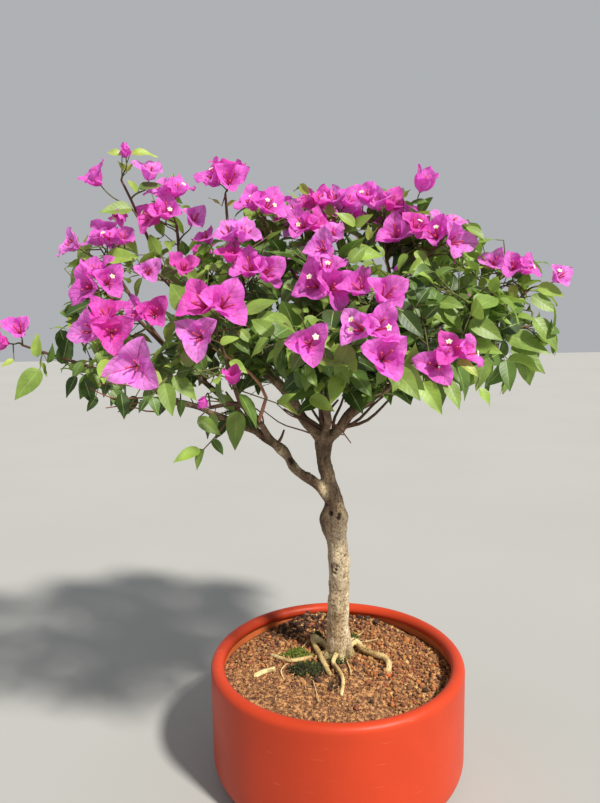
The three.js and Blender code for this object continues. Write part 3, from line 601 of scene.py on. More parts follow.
trunk_curve = catmull_rom([[right, back, height] for height, right, back, _ in TRUNK])
limbs["trunk"] = Limb(trunk_curve, trunk_radius, 15)
for name, *row in ROOTS:
    limbs[name] = Limb(root_curve(*row), tapered([row[4], row[4] * 0.7]), 5)
for number, (name, source, at, bearing, reach, height, radii, bow) in enumerate(BOUGHS):
    curve = bough_curve(source, at, bearing, reach, height, bow)
    curve = wandering(curve, SEED + number, BOUGHS_WANDER, LEFT_LIMB_SAGS if name == "left_limb" else 0)
    limbs[name] = Limb(curve, tapered(radii), 8)
for mass in MASSES:
    limbs[mass["name"]] = Limb(stem_curve(mass), tapered(STEM_RADII), 4)

MIDDLES = np.array([polar(mass["bearing"], mass["reach"], mass["height"]) for mass in MASSES])
CLAIMS = np.array([(m["spread"] + (SHOOT_CLAIM if m["tilt"] is SHOOT else 0)) ** 2 for m in MASSES])


def inside_own_space(index, points):
    """Whether points lie in the mass's own share of the crown."""
    mass = MASSES[index]
    if mass["tilt"] is not SHOOT:
        reach = mass["spread"] + REACH_PAST_TWIGS
        if (norm(points - MIDDLES[index]) > reach).any():
            return False
    powers = ((points[:, None] - MIDDLES) ** 2).sum(-1) - CLAIMS
    apart = norm(MIDDLES - MIDDLES[index])
    apart[index] = 1
    room = (powers - powers[:, index:index + 1]) / (2 * apart)
    room[:, index] = math.inf
    return bool((room > TWIG_RADII[0] + SPACE_MARGIN).all())


def clear_of_limbs(points, margin, names):
    """Whether points keep a margin to the named limbs."""
    for name in names:
        limb = limbs[name]
        start, step = limb.spine[:-1], np.diff(limb.spine, axis=0)
        share = ((points[:, None] - start) * step).sum(-1) / (step ** 2).sum(-1)
        nearest = start + np.clip(share, 0, 1)[..., None] * step
        room = np.maximum(limb.widths[:-1], limb.widths[1:]) + margin
        if (norm(points[:, None] - nearest) < room).any():
            return False
    return True


# The camera, and places that it sees.

def camera_axes():
    forward = np.array([0, math.cos(CAMERA_DOWN), -math.sin(CAMERA_DOWN)])
    level = np.array([1.0, 0.0, 0.0])
    upright = np.cross(level, forward)
    right = level * math.cos(CAMERA_ROLL) + upright * math.sin(CAMERA_ROLL)
    return right, np.cross(right, forward), forward


RIGHT, UPRIGHT, FORWARD = camera_axes()


def ray(x, y):
    """The direction from the camera through a pixel of the photograph."""
    across = (x - IMAGE_WIDTH / 2) / FOCAL_PIXELS
    down = (y - IMAGE_HEIGHT / 2) / FOCAL_PIXELS
    return unit(FORWARD + RIGHT * across - UPRIGHT * down)


def on_level(x, y, level):
    """Where the line of sight through a pixel meets a level plane."""
    sight = ray(x, y)
    return CAMERA + sight * (level - CAMERA[2]) / sight[2]


def pixels(points):
    offset = points - CAMERA
    depth = offset @ FORWARD
    x = IMAGE_WIDTH / 2 + FOCAL_PIXELS * (offset @ RIGHT) / depth
    y = IMAGE_HEIGHT / 2 - FOCAL_PIXELS * (offset @ UPRIGHT) / depth
    return np.stack([x, y], axis=-1)


def make_camera():
    data = bpy.data.cameras.new("photo_camera")
    data.sensor_width = SENSOR
    data.lens = SENSOR * FOCAL_PIXELS / IMAGE_HEIGHT
    data.clip_start = CLIP_START
    camera = placed("photo_camera", data)
    turned = Matrix([RIGHT, UPRIGHT, -FORWARD]).transposed().to_4x4()
    camera.matrix_world = Matrix.Translation(Vector(CAMERA * MM)) @ turned
    bpy.context.scene.camera = camera


# Materials.

CLOUDS_SPAN = (0.3, 0.7)
WHITE = (1, 1, 1)


class Surface:
    """A node material. Every input takes a plain value or another node's output."""

    def __init__(self, name):
        self.material = bpy.data.materials.new(name)
        self.material.use_nodes = True
        self.nodes = self.material.node_tree.nodes
        self.shader = self.nodes["Principled BSDF"]

    def feed(self, socket, value):
        if isinstance(value, bpy.types.NodeSocket):
            self.material.node_tree.links.new(value, socket)
        else:
            socket.default_value = value

    def node(self, kind, inputs=None, **settings):
        """Adds a node with these inputs and settings, and gives its outputs."""
        node = self.nodes.new(f"ShaderNode{kind}")
        for name, value in settings.items():
            setattr(node, name, value)
        for name, value in (inputs or {}).items():
            self.feed(node.inputs[name], value)
        return node.outputs

    def noise(self, scale, detail=3, stretch=None):
        """A noise in the piece's own coordinates, in lumps a metre. stretch squeezes an axis."""
        place = self.node("TexCoord")["Object"]
        if stretch:
            place = self.node("Mapping", {"Vector": place, "Scale": stretch})["Vector"]
        return self.node("TexNoise", {"Vector": place, "Scale": scale, "Detail": detail})["Fac"]

    def ramp(self, value, stops):
        """Colours along a value: stops are (place, sRGB colour)."""
        ramp = self.nodes.new("ShaderNodeValToRGB")
        elements = ramp.color_ramp.elements
        while len(elements) < len(stops):
            elements.new(0.5)
        for element, (place, colour) in zip(elements, stops):
            element.position = place
            element.color = linear(colour)
        self.feed(ramp.inputs["Fac"], value)
        return ramp.outputs["Color"]

    def clouded(self, value, colour, darker, lighter):
        """A colour in soft clouds, from a darker shade of it to a lighter one."""
        return self.ramp(value, list(zip(CLOUDS_SPAN, (shade(colour, darker), shade(colour, lighter)))))

    def mix(self, blend, factor, a, b):
        inputs = {"Factor": factor, "A": a, "B": b}
        return self.node("Mix", inputs, data_type="RGBA", blend_type=blend)["Result"]

    def math(self, operation, *values):
        return self.node("Math", dict(enumerate(values)), operation=operation)["Value"]

    def spread(self, value, low, high, start=0, end=1):
        """The range of a value from low to high, spread over start to end."""
        inputs = {"Value": value, "From Min": low, "From Max": high, "To Min": start, "To Max": end}
        return self.node("MapRange", inputs)["Result"]

    def height(self, low, high):
        """0 below one height and 1 above another, in mm."""
        place = self.node("TexCoord")["Object"]
        return self.spread(self.node("SeparateXYZ", {"Vector": place})["Z"], low * MM, high * MM)

    def stored(self, name):
        """A value that the mesh stores for each of its points."""
        return self.node("Attribute", attribute_name=name)["Fac"]

    def veins(self, count, slant):
        """1 on the side veins, which leave the midrib at a slant, and 0 between them."""
        chart = self.node("UVMap", uv_map=BLADE_CHART)["UV"]
        place = self.node("SeparateXYZ", {"Vector": chart})
        back = self.math("MULTIPLY", self.math("ABSOLUTE", place["Y"]), -slant)
        along = self.math("MULTIPLY_ADD", place["X"], count, back)
        return self.spread(self.math("PINGPONG", along, 0.5), 0, VEIN_WIDTH, 1, 0)

    def let_through(self, share, colour):
        """Lets a share of the light through in this colour."""
        through = self.node("BsdfTranslucent", {"Color": linear(colour)})["BSDF"]
        both = self.node("MixShader", {"Fac": share, 1: self.shader.outputs["BSDF"], 2: through})
        self.feed(self.nodes["Material Output"].inputs["Surface"], both["Shader"])

    def finish(self, colour, roughness, height, strength, distance):
        """Sets the shader's colour and roughness, and a bump from a height."""
        bump = self.node("Bump", {"Strength": strength, "Distance": distance, "Height": height})
        inputs = {"Base Color": colour, "Roughness": roughness, "Normal": bump["Normal"]}
        for name, value in inputs.items():
            self.feed(self.shader.inputs[name], value)
        return self.material


def plain_material(name, colour, roughness, change=0.12, scale=150, glow=0, bump=0.2):
    """A plain colour that varies a little, and that may let some light through."""
    surface = Surface(name)
    tint = surface.clouded(surface.noise(scale), colour, 1 - change, 1 + change)
    if glow:
        surface.let_through(glow, colour)
    return surface.finish(tint, roughness, surface.noise(scale * 6), bump, 0.0004)


VEIN_WIDTH = 0.16
LEAF_LOOK = {"clouds": 90, "change": 0.12, "veins": 7, "slant": 1.5, "vein_shows": 0.22, "vein_tone": 1.25,
             "roughness": 0.46, "bump": 0.18, "glow": 0.26, "through": 1.25}
BRACT_LOOK = {"clouds": 230, "change": 0.11, "veins": 6, "slant": 1.9, "vein_shows": 0.4, "vein_tone": 0.78,
              "roughness": 0.6, "bump": 0.5, "glow": 0.46, "through": 1.08}


def blade_material(name, look):
    """A leaf or bract: its colour in soft clouds, side veins in their own tone, and light through it."""
    colour = COLOURS[name]
    surface = Surface(name)
    tint = surface.clouded(surface.noise(look["clouds"], 4), colour, 1 - look["change"], 1 + look["change"])
    vein = surface.veins(look["veins"], look["slant"])
    shown = surface.math("MULTIPLY", vein, look["vein_shows"])
    tint = surface.mix("MIX", shown, tint, linear(shade(colour, look["vein_tone"])))
    surface.let_through(look["glow"], shade(colour, look["through"]))
    return surface.finish(tint, look["roughness"], vein, look["bump"], 0.0005)


POT_SCRATCHES_SHOW = 0.665
POT_SPECKS_SHOW = 0.74
POT_WEAR = 0.22
POT_GLOSS = 0.22
POT_ROUGHNESS = [0.34, 0.52]


def pot_material(name):
    """Satin plastic: its tone in broad clouds, and worn by specks and by fine scratches round the pot."""
    surface = Surface(name)
    tone = surface.clouded(surface.noise(9, 4), COLOURS[name], 0.93, 1.05)
    scratches = surface.noise(120, 5, (0.35, 0.35, 4))
    specks = surface.noise(170, 2)
    for marks, shows_at in ((scratches, POT_SCRATCHES_SHOW), (specks, POT_SPECKS_SHOW)):
        shown = surface.spread(marks, shows_at, shows_at + 0.09, 0, POT_WEAR)
        tone = surface.mix("MIX", shown, tone, linear(COLOURS["pot_worn"]))
    surface.shader.inputs["Specular IOR Level"].default_value = POT_GLOSS
    return surface.finish(tone, surface.spread(scratches, 0, 1, *POT_ROUGHNESS), scratches, 0.12, 0.0006)


# The bark is paler below the first of these heights and darker above the second, partly its own tone and
# partly painted shade under the crown, and soiled at its foot.
BARK_DARKENS = [180, 275]
BARK_SOILED = [108, 126]


def bark_material(name, tones, specks):
    """Bark: patches of pale and dark that change with height, higher up partly painted shade, pores, and
    painted shade in the hollows of the relief.
    """
    surface = Surface(name)
    patches = surface.noise(75, 5, (1, 1, 0.45))
    pores = surface.noise(620, 4, (1, 1, 0.7))
    bases = []
    for tone in tones:
        pale, dark = COLOURS[tone], COLOURS[f"{tone}_dark"]
        between = tuple(mix(d, p, 0.6) for d, p in zip(dark, pale))
        bases.append(surface.ramp(patches, [(0.34, dark), (0.5, between), (0.66, pale)]))
    # Each layer darkens the bark: its value, where it is darkest and where it ends, and its colour.
    layers = [
        (pores, 0.38, 0.5, specks),
        # painted shade: the relief's hollows and pits are darkened
        (surface.stored("relief"), 0.04, 0.36, COLOURS["bark_hollow_shade"]),
        (surface.noise(34, 5, (1, 1, 0.3)), 0.38, 0.52, COLOURS["bark_stain"]),
    ]
    colour = bases[0]
    if len(bases) > 1:
        # painted shade: above these heights the bark takes the darker tones, partly for the crown's shade
        colour = surface.mix("MIX", surface.height(*BARK_DARKENS), *bases)
        layers.append((surface.height(*BARK_SOILED), 0, 1, COLOURS["bark_soil"]))
    # paler bark at the marked places; on the left limb this is painted light
    colour = surface.mix("MIX", surface.stored("pale"), colour, linear(COLOURS["bark_pale_and_lit"]))
    for value, darkest, ends, dark in layers:
        layer = surface.ramp(value, [(darkest, dark), (ends, WHITE)])
        colour = surface.mix("MULTIPLY", 1.0, colour, layer)
    return surface.finish(colour, 0.85, pores, 0.5, 0.0008)


# Meshes: many small shapes joined into one piece.

BLADE_CHART = "blade"


class Heap:
    """Shapes joined into one piece, each face with one of the piece's materials."""

    def __init__(self):
        self.points = []
        self.charts = []
        self.faces = []
        self.tints = []
        self.count = 0

    def add(self, points, faces, tint, chart=None):
        """tint is one material's number, or one number a face. chart says how far along and across."""
        self.points.append(points)
        self.charts.append(np.zeros((len(points), 2)) if chart is None else chart)
        self.faces.extend((np.asarray(face) + self.count).tolist() for face in faces)
        self.tints.extend([tint] * len(faces) if isinstance(tint, int) else tint)
        self.count += len(points)

    def mesh(self, name, smooth=True):
        mesh = bpy.data.meshes.new(name)
        mesh.from_pydata(np.concatenate(self.points) * MM, [], self.faces, shade_flat=not smooth)
        return mesh

    def piece(self, name, materials, slot, nodes, smooth=True):
        mesh = self.mesh(name, smooth)
        for material in materials:
            mesh.materials.append(material)
        mesh.polygons.foreach_set("material_index", self.tints)
        corners = np.empty(len(mesh.loops), dtype=int)
        mesh.loops.foreach_get("vertex_index", corners)
        layer = mesh.uv_layers.new(name=BLADE_CHART)
        layer.uv.foreach_set("vector", np.concatenate(self.charts)[corners].ravel())
        mesh.update()
        finished(name, mesh, nodes)


def finished(name, mesh, nodes):
    """Puts a mesh in the scene as a piece of the plant that stands for these nodes of the part."""
    piece = placed(name, mesh)
    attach(piece, "root")
    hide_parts(*nodes)


def grid_faces(rows, columns):
    """The quads between rows of points."""
    first = np.arange((rows - 1) * columns).reshape(rows - 1, columns)[:, :-1].ravel()
    return np.stack([first, first + 1, first + columns + 1, first + columns], axis=1).tolist()


def round_of(sides):
    """The numbers of the points round a ring, and of the one after each."""
    side = np.arange(sides)
    return side, (side + 1) % sides


def band(low, high, sides):
    """The quads between two rings whose first points have these numbers."""
    side, after = round_of(sides)
    return np.stack([low + side, low + after, high + after, high + side], axis=1)


def closed_faces(rings, sides):
    """The faces of rings that are joined in turn and closed by a point before them and one after them."""
    end = rings * sides
    top = end - sides
    faces = [quad for low in range(0, top, sides) for quad in band(low, low + sides, sides).tolist()]
    faces += [[end, b, a] for a, b in zip(*round_of(sides))]
    return faces + [[end + 1, top + a, top + b] for a, b in zip(*round_of(sides))]


def tube(path, radii, sides):
    """A round limb along a bent path, closed by a blunt point at each end."""
    headings = unit(np.gradient(path, axis=0))
    normal = np.cross(headings[0], UP if abs(headings[0][2]) < 0.9 else RIGHT)
    angles = np.arange(sides) * TURN / sides
    rings = []
    for point, heading, radius in zip(path, headings, radii):
        normal = unit(normal - heading * (normal @ heading))
        rings.append(point + radius * circle(angles, normal, np.cross(heading, normal)))
    ends = [path[0] - headings[0] * radii[0] * 0.4, path[-1] + headings[-1] * radii[-1] * 0.8]
    return np.vstack(rings + [ends]), closed_faces(len(path), sides)


# The pot and its filling.

POT_SEGMENTS = 144
POT_FLOOR = 12
ARC_STEPS = 14


def arc(centre, radius, start, end):
    angles = np.radians(np.linspace(start, end, ARC_STEPS + 1))
    return [[centre[0] + radius * math.cos(a), centre[1] + radius * math.sin(a)] for a in angles]


def make_pot():
    """Turned from one profile: flat foot, round edge, straight wall, thick round lip, step inside."""
    lip = POT_LIP / 2
    foot = POT_FOOT_ROUNDING
    inside = POT_RADIUS - POT_WALL
    ledge = POT_HEIGHT - POT_LIP_DEPTH
    profile = [[40, 0], [80, 0]]
    profile += arc((POT_RADIUS - foot, foot), foot, -90, 0)
    profile += [[POT_RADIUS, z] for z in np.linspace(foot + 12, POT_HEIGHT - lip - 6, 5)]
    profile += arc((POT_RADIUS - lip, POT_HEIGHT - lip), lip, 0, 175)
    clean = len(profile)
    profile += [[POT_RADIUS - POT_LIP + 0.4, ledge], [inside + 0.6, ledge - 1.2], [inside, ledge - 3]]
    profile += [[inside, z] for z in (90, 60, 30)]
    profile += [[inside - 6, 16], [inside - 16, POT_FLOOR], [60, POT_FLOOR]]
    angles = np.arange(POT_SEGMENTS) * TURN / POT_SEGMENTS
    rings = [circle(angles, [r, 0, 0], [0, r, 0]) + [0, 0, z] for r, z in profile]
    # the inside takes the paler tone: partly dust, partly painted light on the inner wall
    dusty_and_lit = len(profile) - 1 - clean
    tints = np.repeat([0] * clean + [1] * dusty_and_lit + [0, 1], POT_SEGMENTS).tolist()
    heap = Heap()
    ends = [[0, 0, 0], [0, 0, POT_FLOOR]]
    heap.add(np.vstack(rings + [ends]), closed_faces(len(rings), POT_SEGMENTS), tints)
    heap.piece("terracotta_pot", [pot_material("pot"), pot_material("pot_dusty_and_lit")], "pot", ["pot"])


# Soil: a lumpy ground, grains and pebbles of laterite on it, dark lumps and moss.

GROUND_RINGS = 60
GROUND_SIDES = 150
GROUND_UNDERSIDE = 92
# The ground falls from one reach to the other, and is lumpy up to the third.
GROUND_FALLS = [55, 113]
GROUND_LUMPY_TO = 112
GROUND_LUMPS = 3.0
# Where soil is heaped: middle, half widths and height.
HEAPS = [[(-12, 96), (42, 24), 13], [(46, 88), (26, 20), 6]]
GRAINS = 5200
GRAINS_REACH = 111
SAND_SIZES = [1.3, 2.4]
COARSE_SIZES = [1.6, 2.4, 5.6]
PEBBLE_SIZES = [4, 7.5]
LUMP_SIZES = [2.5, 8]
STONES_SUNK = 0.35
STONE_SQUASHED = [[0.75, 0.6, 0.5], [1.2, 1.0, 0.85]]
STONE_ROUGHNESS = [0.82, 1.12]
STONES_REACH = 104
PEBBLES = 380
DARK_LUMPS = 190
# Where the soil's grains are darker, towards the back left: middle and half widths.
DARK_PATCH = [(-30, 85), (55, 30)]
GRAIN_COLOURS = {
    "grain_tan": (0.67, 0.49, 0.30),
    "grain_orange": (0.67, 0.42, 0.23),
    "grain_red": (0.53, 0.30, 0.20),
    "grain_brown": (0.49, 0.33, 0.20),
    "grain_dark": (0.24, 0.15, 0.10),
    "grain_pale": (0.78, 0.63, 0.42),
    "grain_bright": (0.90, 0.42, 0.17),
    "grain_grey": (0.45, 0.47, 0.46),
}
TAN, ORANGE, REDDISH, BROWNISH, DARK, PALE, VIVID, GREY = range(8)
GRAIN_SHARES = [0.42, 0.07, 0.06, 0.33, 0.06, 0.06]
COARSE_SHARES = [0.28, 0.13, 0.17, 0.32, 0.06, 0.04]
# Larger stones and crumbs that show: pixel, size in mm, colour.
SEEN_STONES = [
    [389, 677, 6.5, VIVID], [375, 676, 8, ORANGE], [406, 643, 9, ORANGE], [392, 706, 8, ORANGE],
    [263, 659, 7, REDDISH], [308, 639, 7, REDDISH], [249, 664, 7, REDDISH], [351, 668, 6, ORANGE],
    [304, 685, 8, TAN], [322, 687, 7, TAN], [356, 709, 8, REDDISH], [388, 669, 5, GREY],
    [372, 615, 13, DARK], [366, 611, 8, DARK], [380, 619, 9, DARK], [438, 657, 9, BROWNISH],
    [318, 682, 10, DARK], [362, 662, 6, TAN], [368, 668, 6, ORANGE], [345, 671, 5, PALE],
    [302, 627, 6, PALE], [291, 619, 10, DARK], [297, 612, 9, DARK], [283, 626, 9, DARK],
    [330, 690, 7, DARK], [372, 703, 6, DARK], [399, 668, 7, BROWNISH], [411, 676, 7, TAN],
    [421, 645, 8, REDDISH], [414, 634, 7, BROWNISH], [359, 627, 6, REDDISH], [250, 648, 7, BROWNISH],
]
MOSS_COLOURS = {
    "moss_green": (0.42, 0.47, 0.15),
    "moss_dark": (0.20, 0.23, 0.10),
    # dark humus, used also as painted shade in the hollow between two roots
    "humus_and_hollow_shade": (0.17, 0.14, 0.08),
}
# Moss left of the trunk and round its foot: a patch's middle pixel, half its width and depth in mm, its
# height, its blades and their tones' shares. The last patch is a dip between two roots, its blades nearly all
# dark humus as painted shade in the hollow.
MOSS = [
    [296, 655, 15, 5, 4, 480, [0.75, 0.25, 0.0]],
    [307, 670, 17, 11, 5, 620, [0.06, 0.50, 0.44]],
    [318, 640, 7, 7, 9, 260, [0.20, 0.55, 0.25]],
    [336, 662, 13, 6, 2, 240, [0.25, 0.50, 0.25]],
    [352, 640, 8, 8, 3, 160, [0.35, 0.45, 0.20]],
    # painted shade: a dip between two roots, its blades nearly all dark humus
    [333, 684, 4, 8, -3, 150, [0.0, 0.05, 0.95]],
]
MOUNDS = [[on_level(x, y, SOIL_LEVEL)[:2], (wide, deep), high * 0.7] for x, y, wide, deep, high, _, _ in MOSS]


def bell(x, y, middle, widths):
    """1 at a middle, and less away from it."""
    return math.exp(-((x - middle[0]) / widths[0]) ** 2 - ((y - middle[1]) / widths[1]) ** 2)


def ground_height(x, y):
    """The soil's level: lower at the pot's wall, heaped at the back, lumpy all over."""
    reach = math.hypot(x, y)
    start, end = GROUND_FALLS
    level = mix(SOIL_LEVEL, SOIL_EDGE_LEVEL, clamp((reach - start) / (end - start)))
    level += sum(high * bell(x, y, middle, widths) for middle, widths, high in HEAPS + MOUNDS)
    lumps = GROUND_LUMPS * noise.fractal(Vector((x * 0.06, y * 0.06, 3.1)), 0.9, 2.0, 4)
    return level + lumps * clamp((GROUND_LUMPY_TO - reach) / 20, 0.25)


def on_soil(x, y):
    """Where the line of sight through a pixel meets the soil, or the soil's nearest point inside the pot."""
    level = SOIL_LEVEL
    for _ in range(6):
        place = on_level(x, y, level)
        place *= min(1, STONES_REACH / math.hypot(*place[:2]))
        level = mix(level, ground_height(*place[:2]), 0.6)
    return place


def icosahedron():
    golden = (1 + math.sqrt(5)) / 2
    corners = [(s, t * golden) for s in (-1, 1) for t in (-1, 1)]
    points = [[0, s, t] for s, t in corners]
    points += [[s, t, 0] for s, t in corners]
    points += [[t, 0, s] for s, t in corners]
    points = unit(np.array(points, dtype=float))
    edge = np.sort(norm(points[0] - points))[1]
    close = norm(points[:, None] - points) < edge * 1.1
    faces = []
    for a, b, c in combinations(range(len(points)), 3):
        if close[a, b] and close[b, c] and close[a, c]:
            out = np.cross(points[b] - points[a], points[c] - points[a]) @ points[a] > 0
            faces.append([a, b, c] if out else [a, c, b])
    return points, faces


ICOSAHEDRON = icosahedron()


def add_grain(heap, rng, x, y, size, tint, sunk=0.25):
    """A rough stone, turned at random and partly sunk in the soil."""
    points, faces = ICOSAHEDRON
    squash = rng.uniform(*STONE_SQUASHED)
    stone = points * rng.uniform(*STONE_ROUGHNESS, (len(points), 1)) * squash
    turn = np.array(Quaternion(unit(rng.normal(size=4))).to_matrix())
    stone = stone @ turn.T * size / 2 + [x, y, ground_height(x, y) + size * (0.5 - sunk)]
    heap.add(stone, faces, tint)


def spot_in_pot(rng):
    reach = GRAINS_REACH * math.sqrt(rng.uniform())
    return circle([rng.uniform(0, TURN)], [reach, 0], [0, reach])[0]


def make_ground():
    reach = POT_RADIUS - POT_WALL - 0.4
    angles = np.arange(GROUND_SIDES) * TURN / GROUND_SIDES
    points = [[0, 0, ground_height(0, 0)]]
    for r in np.linspace(0, reach, GROUND_RINGS + 1)[1:]:
        spots = circle(angles, [r, 0], [0, r])
        points += [[x, y, ground_height(x, y)] for x, y in spots]
    points += [[x, y, GROUND_UNDERSIDE] for x, y in spots]
    side, after = round_of(GROUND_SIDES)
    faces = [[0, 1 + a, 1 + b] for a, b in zip(side, after)]
    for ring in range(GROUND_RINGS):
        low = 1 + ring * GROUND_SIDES
        faces += band(low, low + GROUND_SIDES, GROUND_SIDES)[:, [0, 3, 2, 1]].tolist()
    faces.append((1 + GROUND_RINGS * GROUND_SIDES + side[::-1]).tolist())
    heap = Heap()
    heap.add(np.array(points), faces, 0)
    surface = Surface("soil_fine")
    crumbs = surface.noise(260, 6)
    tones = [COLOURS[n] for n in ("soil_dark", "soil_fine", "soil_pale")]
    colour = surface.ramp(crumbs, list(zip((0.36, 0.5, 0.64), tones)))
    heap.piece("soil_ground", [surface.finish(colour, 0.95, crumbs, 0.9, 0.002)], "soil", ["soil"])


def make_grains(rng):
    """Sandy grains at the front left, coarser ones elsewhere, pebbles, dark lumps towards the back left and
    seen stones.
    """
    heap = Heap()
    for _ in range(GRAINS):
        x, y = spot_in_pot(rng)
        sandy = x < 25 - y * 0.3 and y < 5
        tint = int(rng.choice(6, p=GRAIN_SHARES if sandy else COARSE_SHARES))
        # grains towards the back left are more often dark
        tint = DARK if rng.uniform() < 0.6 * bell(x, y, *DARK_PATCH) else tint
        size = rng.uniform(*SAND_SIZES) if sandy else rng.triangular(*COARSE_SIZES)
        add_grain(heap, rng, x, y, size, tint)
    for _ in range(PEBBLES):
        x, y = spot_in_pot(rng)
        if y > -20 - x:
            size = rng.uniform(*PEBBLE_SIZES)
            add_grain(heap, rng, x, y, size, int(rng.choice(6, p=COARSE_SHARES)), STONES_SUNK)
    # dark lumps towards the back left
    for _ in range(DARK_LUMPS):
        x, y = rng.normal([-26, 88], [36, 12])
        if math.hypot(x, y) < GRAINS_REACH - 3:
            tint = int(rng.choice([DARK, BROWNISH, REDDISH], p=[0.62, 0.25, 0.13]))
            add_grain(heap, rng, x, y, rng.uniform(*LUMP_SIZES), tint, rng.uniform(0, STONES_SUNK))
    for x, y, size, tint in SEEN_STONES:
        add_grain(heap, rng, *on_soil(x, y)[:2], size, tint, STONES_SUNK)
    materials = [plain_material(n, c, 0.9, scale=300, bump=0.5) for n, c in GRAIN_COLOURS.items()]
    heap.piece("soil_grains", materials, "soil", ["soil"], smooth=False)


def make_moss(rng):
    """Short blades of moss on low mounds, and dark ones in a dip as painted shade."""
    heap = Heap()
    for x, y, wide, deep, high, count, shares in MOSS:
        middle = on_level(x, y, SOIL_LEVEL + high * 0.5)
        for _ in range(count):
            spread = rng.normal(size=2) * 0.5
            spot = middle[:2] + spread * [wide, deep]
            swell = high * math.exp(-(spread @ spread) * 1.5)
            foot = np.array([*spot, ground_height(*spot) + swell])
            heading = unit(rng.normal(size=3) * [1, 1, 0.3] + UP * 1.2)
            path = foot + np.outer([-0.6, 0.5, 1], heading) * rng.uniform(2, 4.5)
            heap.add(*tube(path, [0.6, 0.5, 0.2], 3), int(rng.choice(3, p=shares)))
    materials = [plain_material(n, c, 0.9) for n, c in MOSS_COLOURS.items()]
    heap.piece("moss", materials, "soil", ["soil"])


def make_soil():
    make_ground()
    rng = np.random.default_rng(SEED)
    make_grains(rng)
    make_moss(rng)


# Trunk, boughs and roots: their tubes fused into one skin, with the bark's relief.

BARK_VOXEL = 1.0
BARK_SIDES = 24
ROOT_VOXEL = 0.6
ROOT_SIDES = 12
# The relief's depth as a share of the width, and at most, in mm, and how much it shades the bark.
BARK_RELIEF = [0.13, 1.1]
BARK_SHADED = 0.28
ROOT_RELIEF = [0.18, math.inf]
ROOT_SHADED = 0.6
# The ribs at the trunk's foot: how high they reach, over what height they fade, how far out, how deep.
FLUTES_REACH_UP = 138
FLUTES_FADE_OVER = 32
FLUTES_WITHIN = 24
FLUTES_DEPTH = 1.9
# How many points are compared with the limbs at once.
CHUNK = 4000
# Pits in the trunk that show, and the left limb's: pixel, size and depth.
TRUNK_PITS = [
    [330.2, 513.2, 2.3, 2.2], [331.5, 515.5, 1.5, 0.8], [339.4, 518.5, 2.2, 2.0], [340, 514.5, 1.8, 1.7],
    [340.6, 510, 1.4, 1.1], [341, 506, 1.7, 1.5], [338.6, 502, 1.4, 1.0], [323, 522.5, 2.2, 1.2],
    [337.5, 534, 1.5, 0.9], [340, 540, 1.4, 0.9], [346, 556, 2.0, 1.4], [335, 529, 1.4, 0.6],
    [336.6, 566.5, 1.5, 1.3], [335.7, 570, 1.7, 1.4], [334.4, 573.5, 1.4, 0.8], [307, 472, 2.4, 1.6],
    [291, 461, 5, 1.3], [303, 469, 1.5, 1.2], [312, 475, 1.5, 1.0], [337, 540, 1.2, 0.9],
    [326, 505, 1.3, 0.8],
]
PITS_DEEPER = 1.5
# Swellings of the trunk: pixel, size and height.
TRUNK_SWELLINGS = [
    [322, 521, 7, 1.8], [346, 516, 7, 1.9], [347, 563, 7, 1.6], [334, 530, 7, 1.0], [325, 490, 6, 1.2],
    [341, 506, 5, 1.2], [335, 562, 6, 1.0], [306, 470, 7, 1.6], [280, 452, 7, 2.2], [329, 600, 7, 0.8],
]
# The eye-shaped knot: a ring's pixel, its radius, how deep it is cut and how wide the cut is.
TRUNK_EYE = [335, 569.5, 4.6, 0.6, 1.2]
# Places on the trunk where paler bark shows, and the last three, on the left limb, painted light where its
# top is lit: pixel and size in mm.
TRUNK_PALE_AND_LIT = [
    [323, 487, 4], [324, 493, 4], [341, 508, 3.5], [339, 549, 3.5], [337, 557, 3.5], [343, 570, 4],
    [334, 477, 3], [311, 473, 3], [298, 466, 2.5], [281, 452, 2.5],
]
# How much slimmer these boughs look than the part's.
SLIMMER = {"left_limb": 0.78, "left_low_bough": 0.9}


def fused(names, sides, voxel):
    """The named limbs' tubes as one closed skin, with its points in mm and their normals."""
    heap = Heap()
    for name in names:
        limb = limbs[name]
        slim = SLIMMER.get(name, 1)
        shares = np.linspace(0, 1, max(int(limb.curve.lengths[-1] / 3), 8) + 1)
        radii = [limb.radius(s) * mix(1, slim, min(s * 5, 1)) for s in shares]
        heap.add(*tube(limb.curve.at(shares), radii, sides), 0)
    carrier = placed("rough", heap.mesh("rough"))
    remesh = carrier.modifiers.new("fuse", "REMESH")
    remesh.mode = "VOXEL"
    remesh.voxel_size = voxel * MM
    smooth = carrier.modifiers.new("ease", "SMOOTH")
    smooth.iterations = 3
    smooth.factor = 0.5
    skin = bpy.data.meshes.new_from_object(carrier.evaluated_get(bpy.context.evaluated_depsgraph_get()))
    bpy.data.meshes.remove(carrier.data)
    return skin, vertices_of(skin, "co") / MM, vertices_of(skin, "normal")


def vertices_of(mesh, what):
    flat = np.empty(len(mesh.vertices) * 3)
    mesh.vertices.foreach_get(what, flat)
    return flat.reshape(-1, 3)


def store(mesh, name, values):
    """Stores a value for each point of a mesh, which its material reads."""
    mesh.attributes.new(name, "FLOAT", "POINT").data.foreach_set("value", values)


def finish_bark(name, skin, points, relief, shown, material, nodes):
    """Moves the skin's points to their places, and stores the relief, from which its material paints shade
    into the hollows.
    """
    skin.vertices.foreach_set("co", (points * MM).ravel())
    store(skin, "relief", np.clip(0.5 + relief * shown, 0, 1))
    skin.materials.append(material)
    skin.shade_smooth()
    finished(name, skin, nodes)


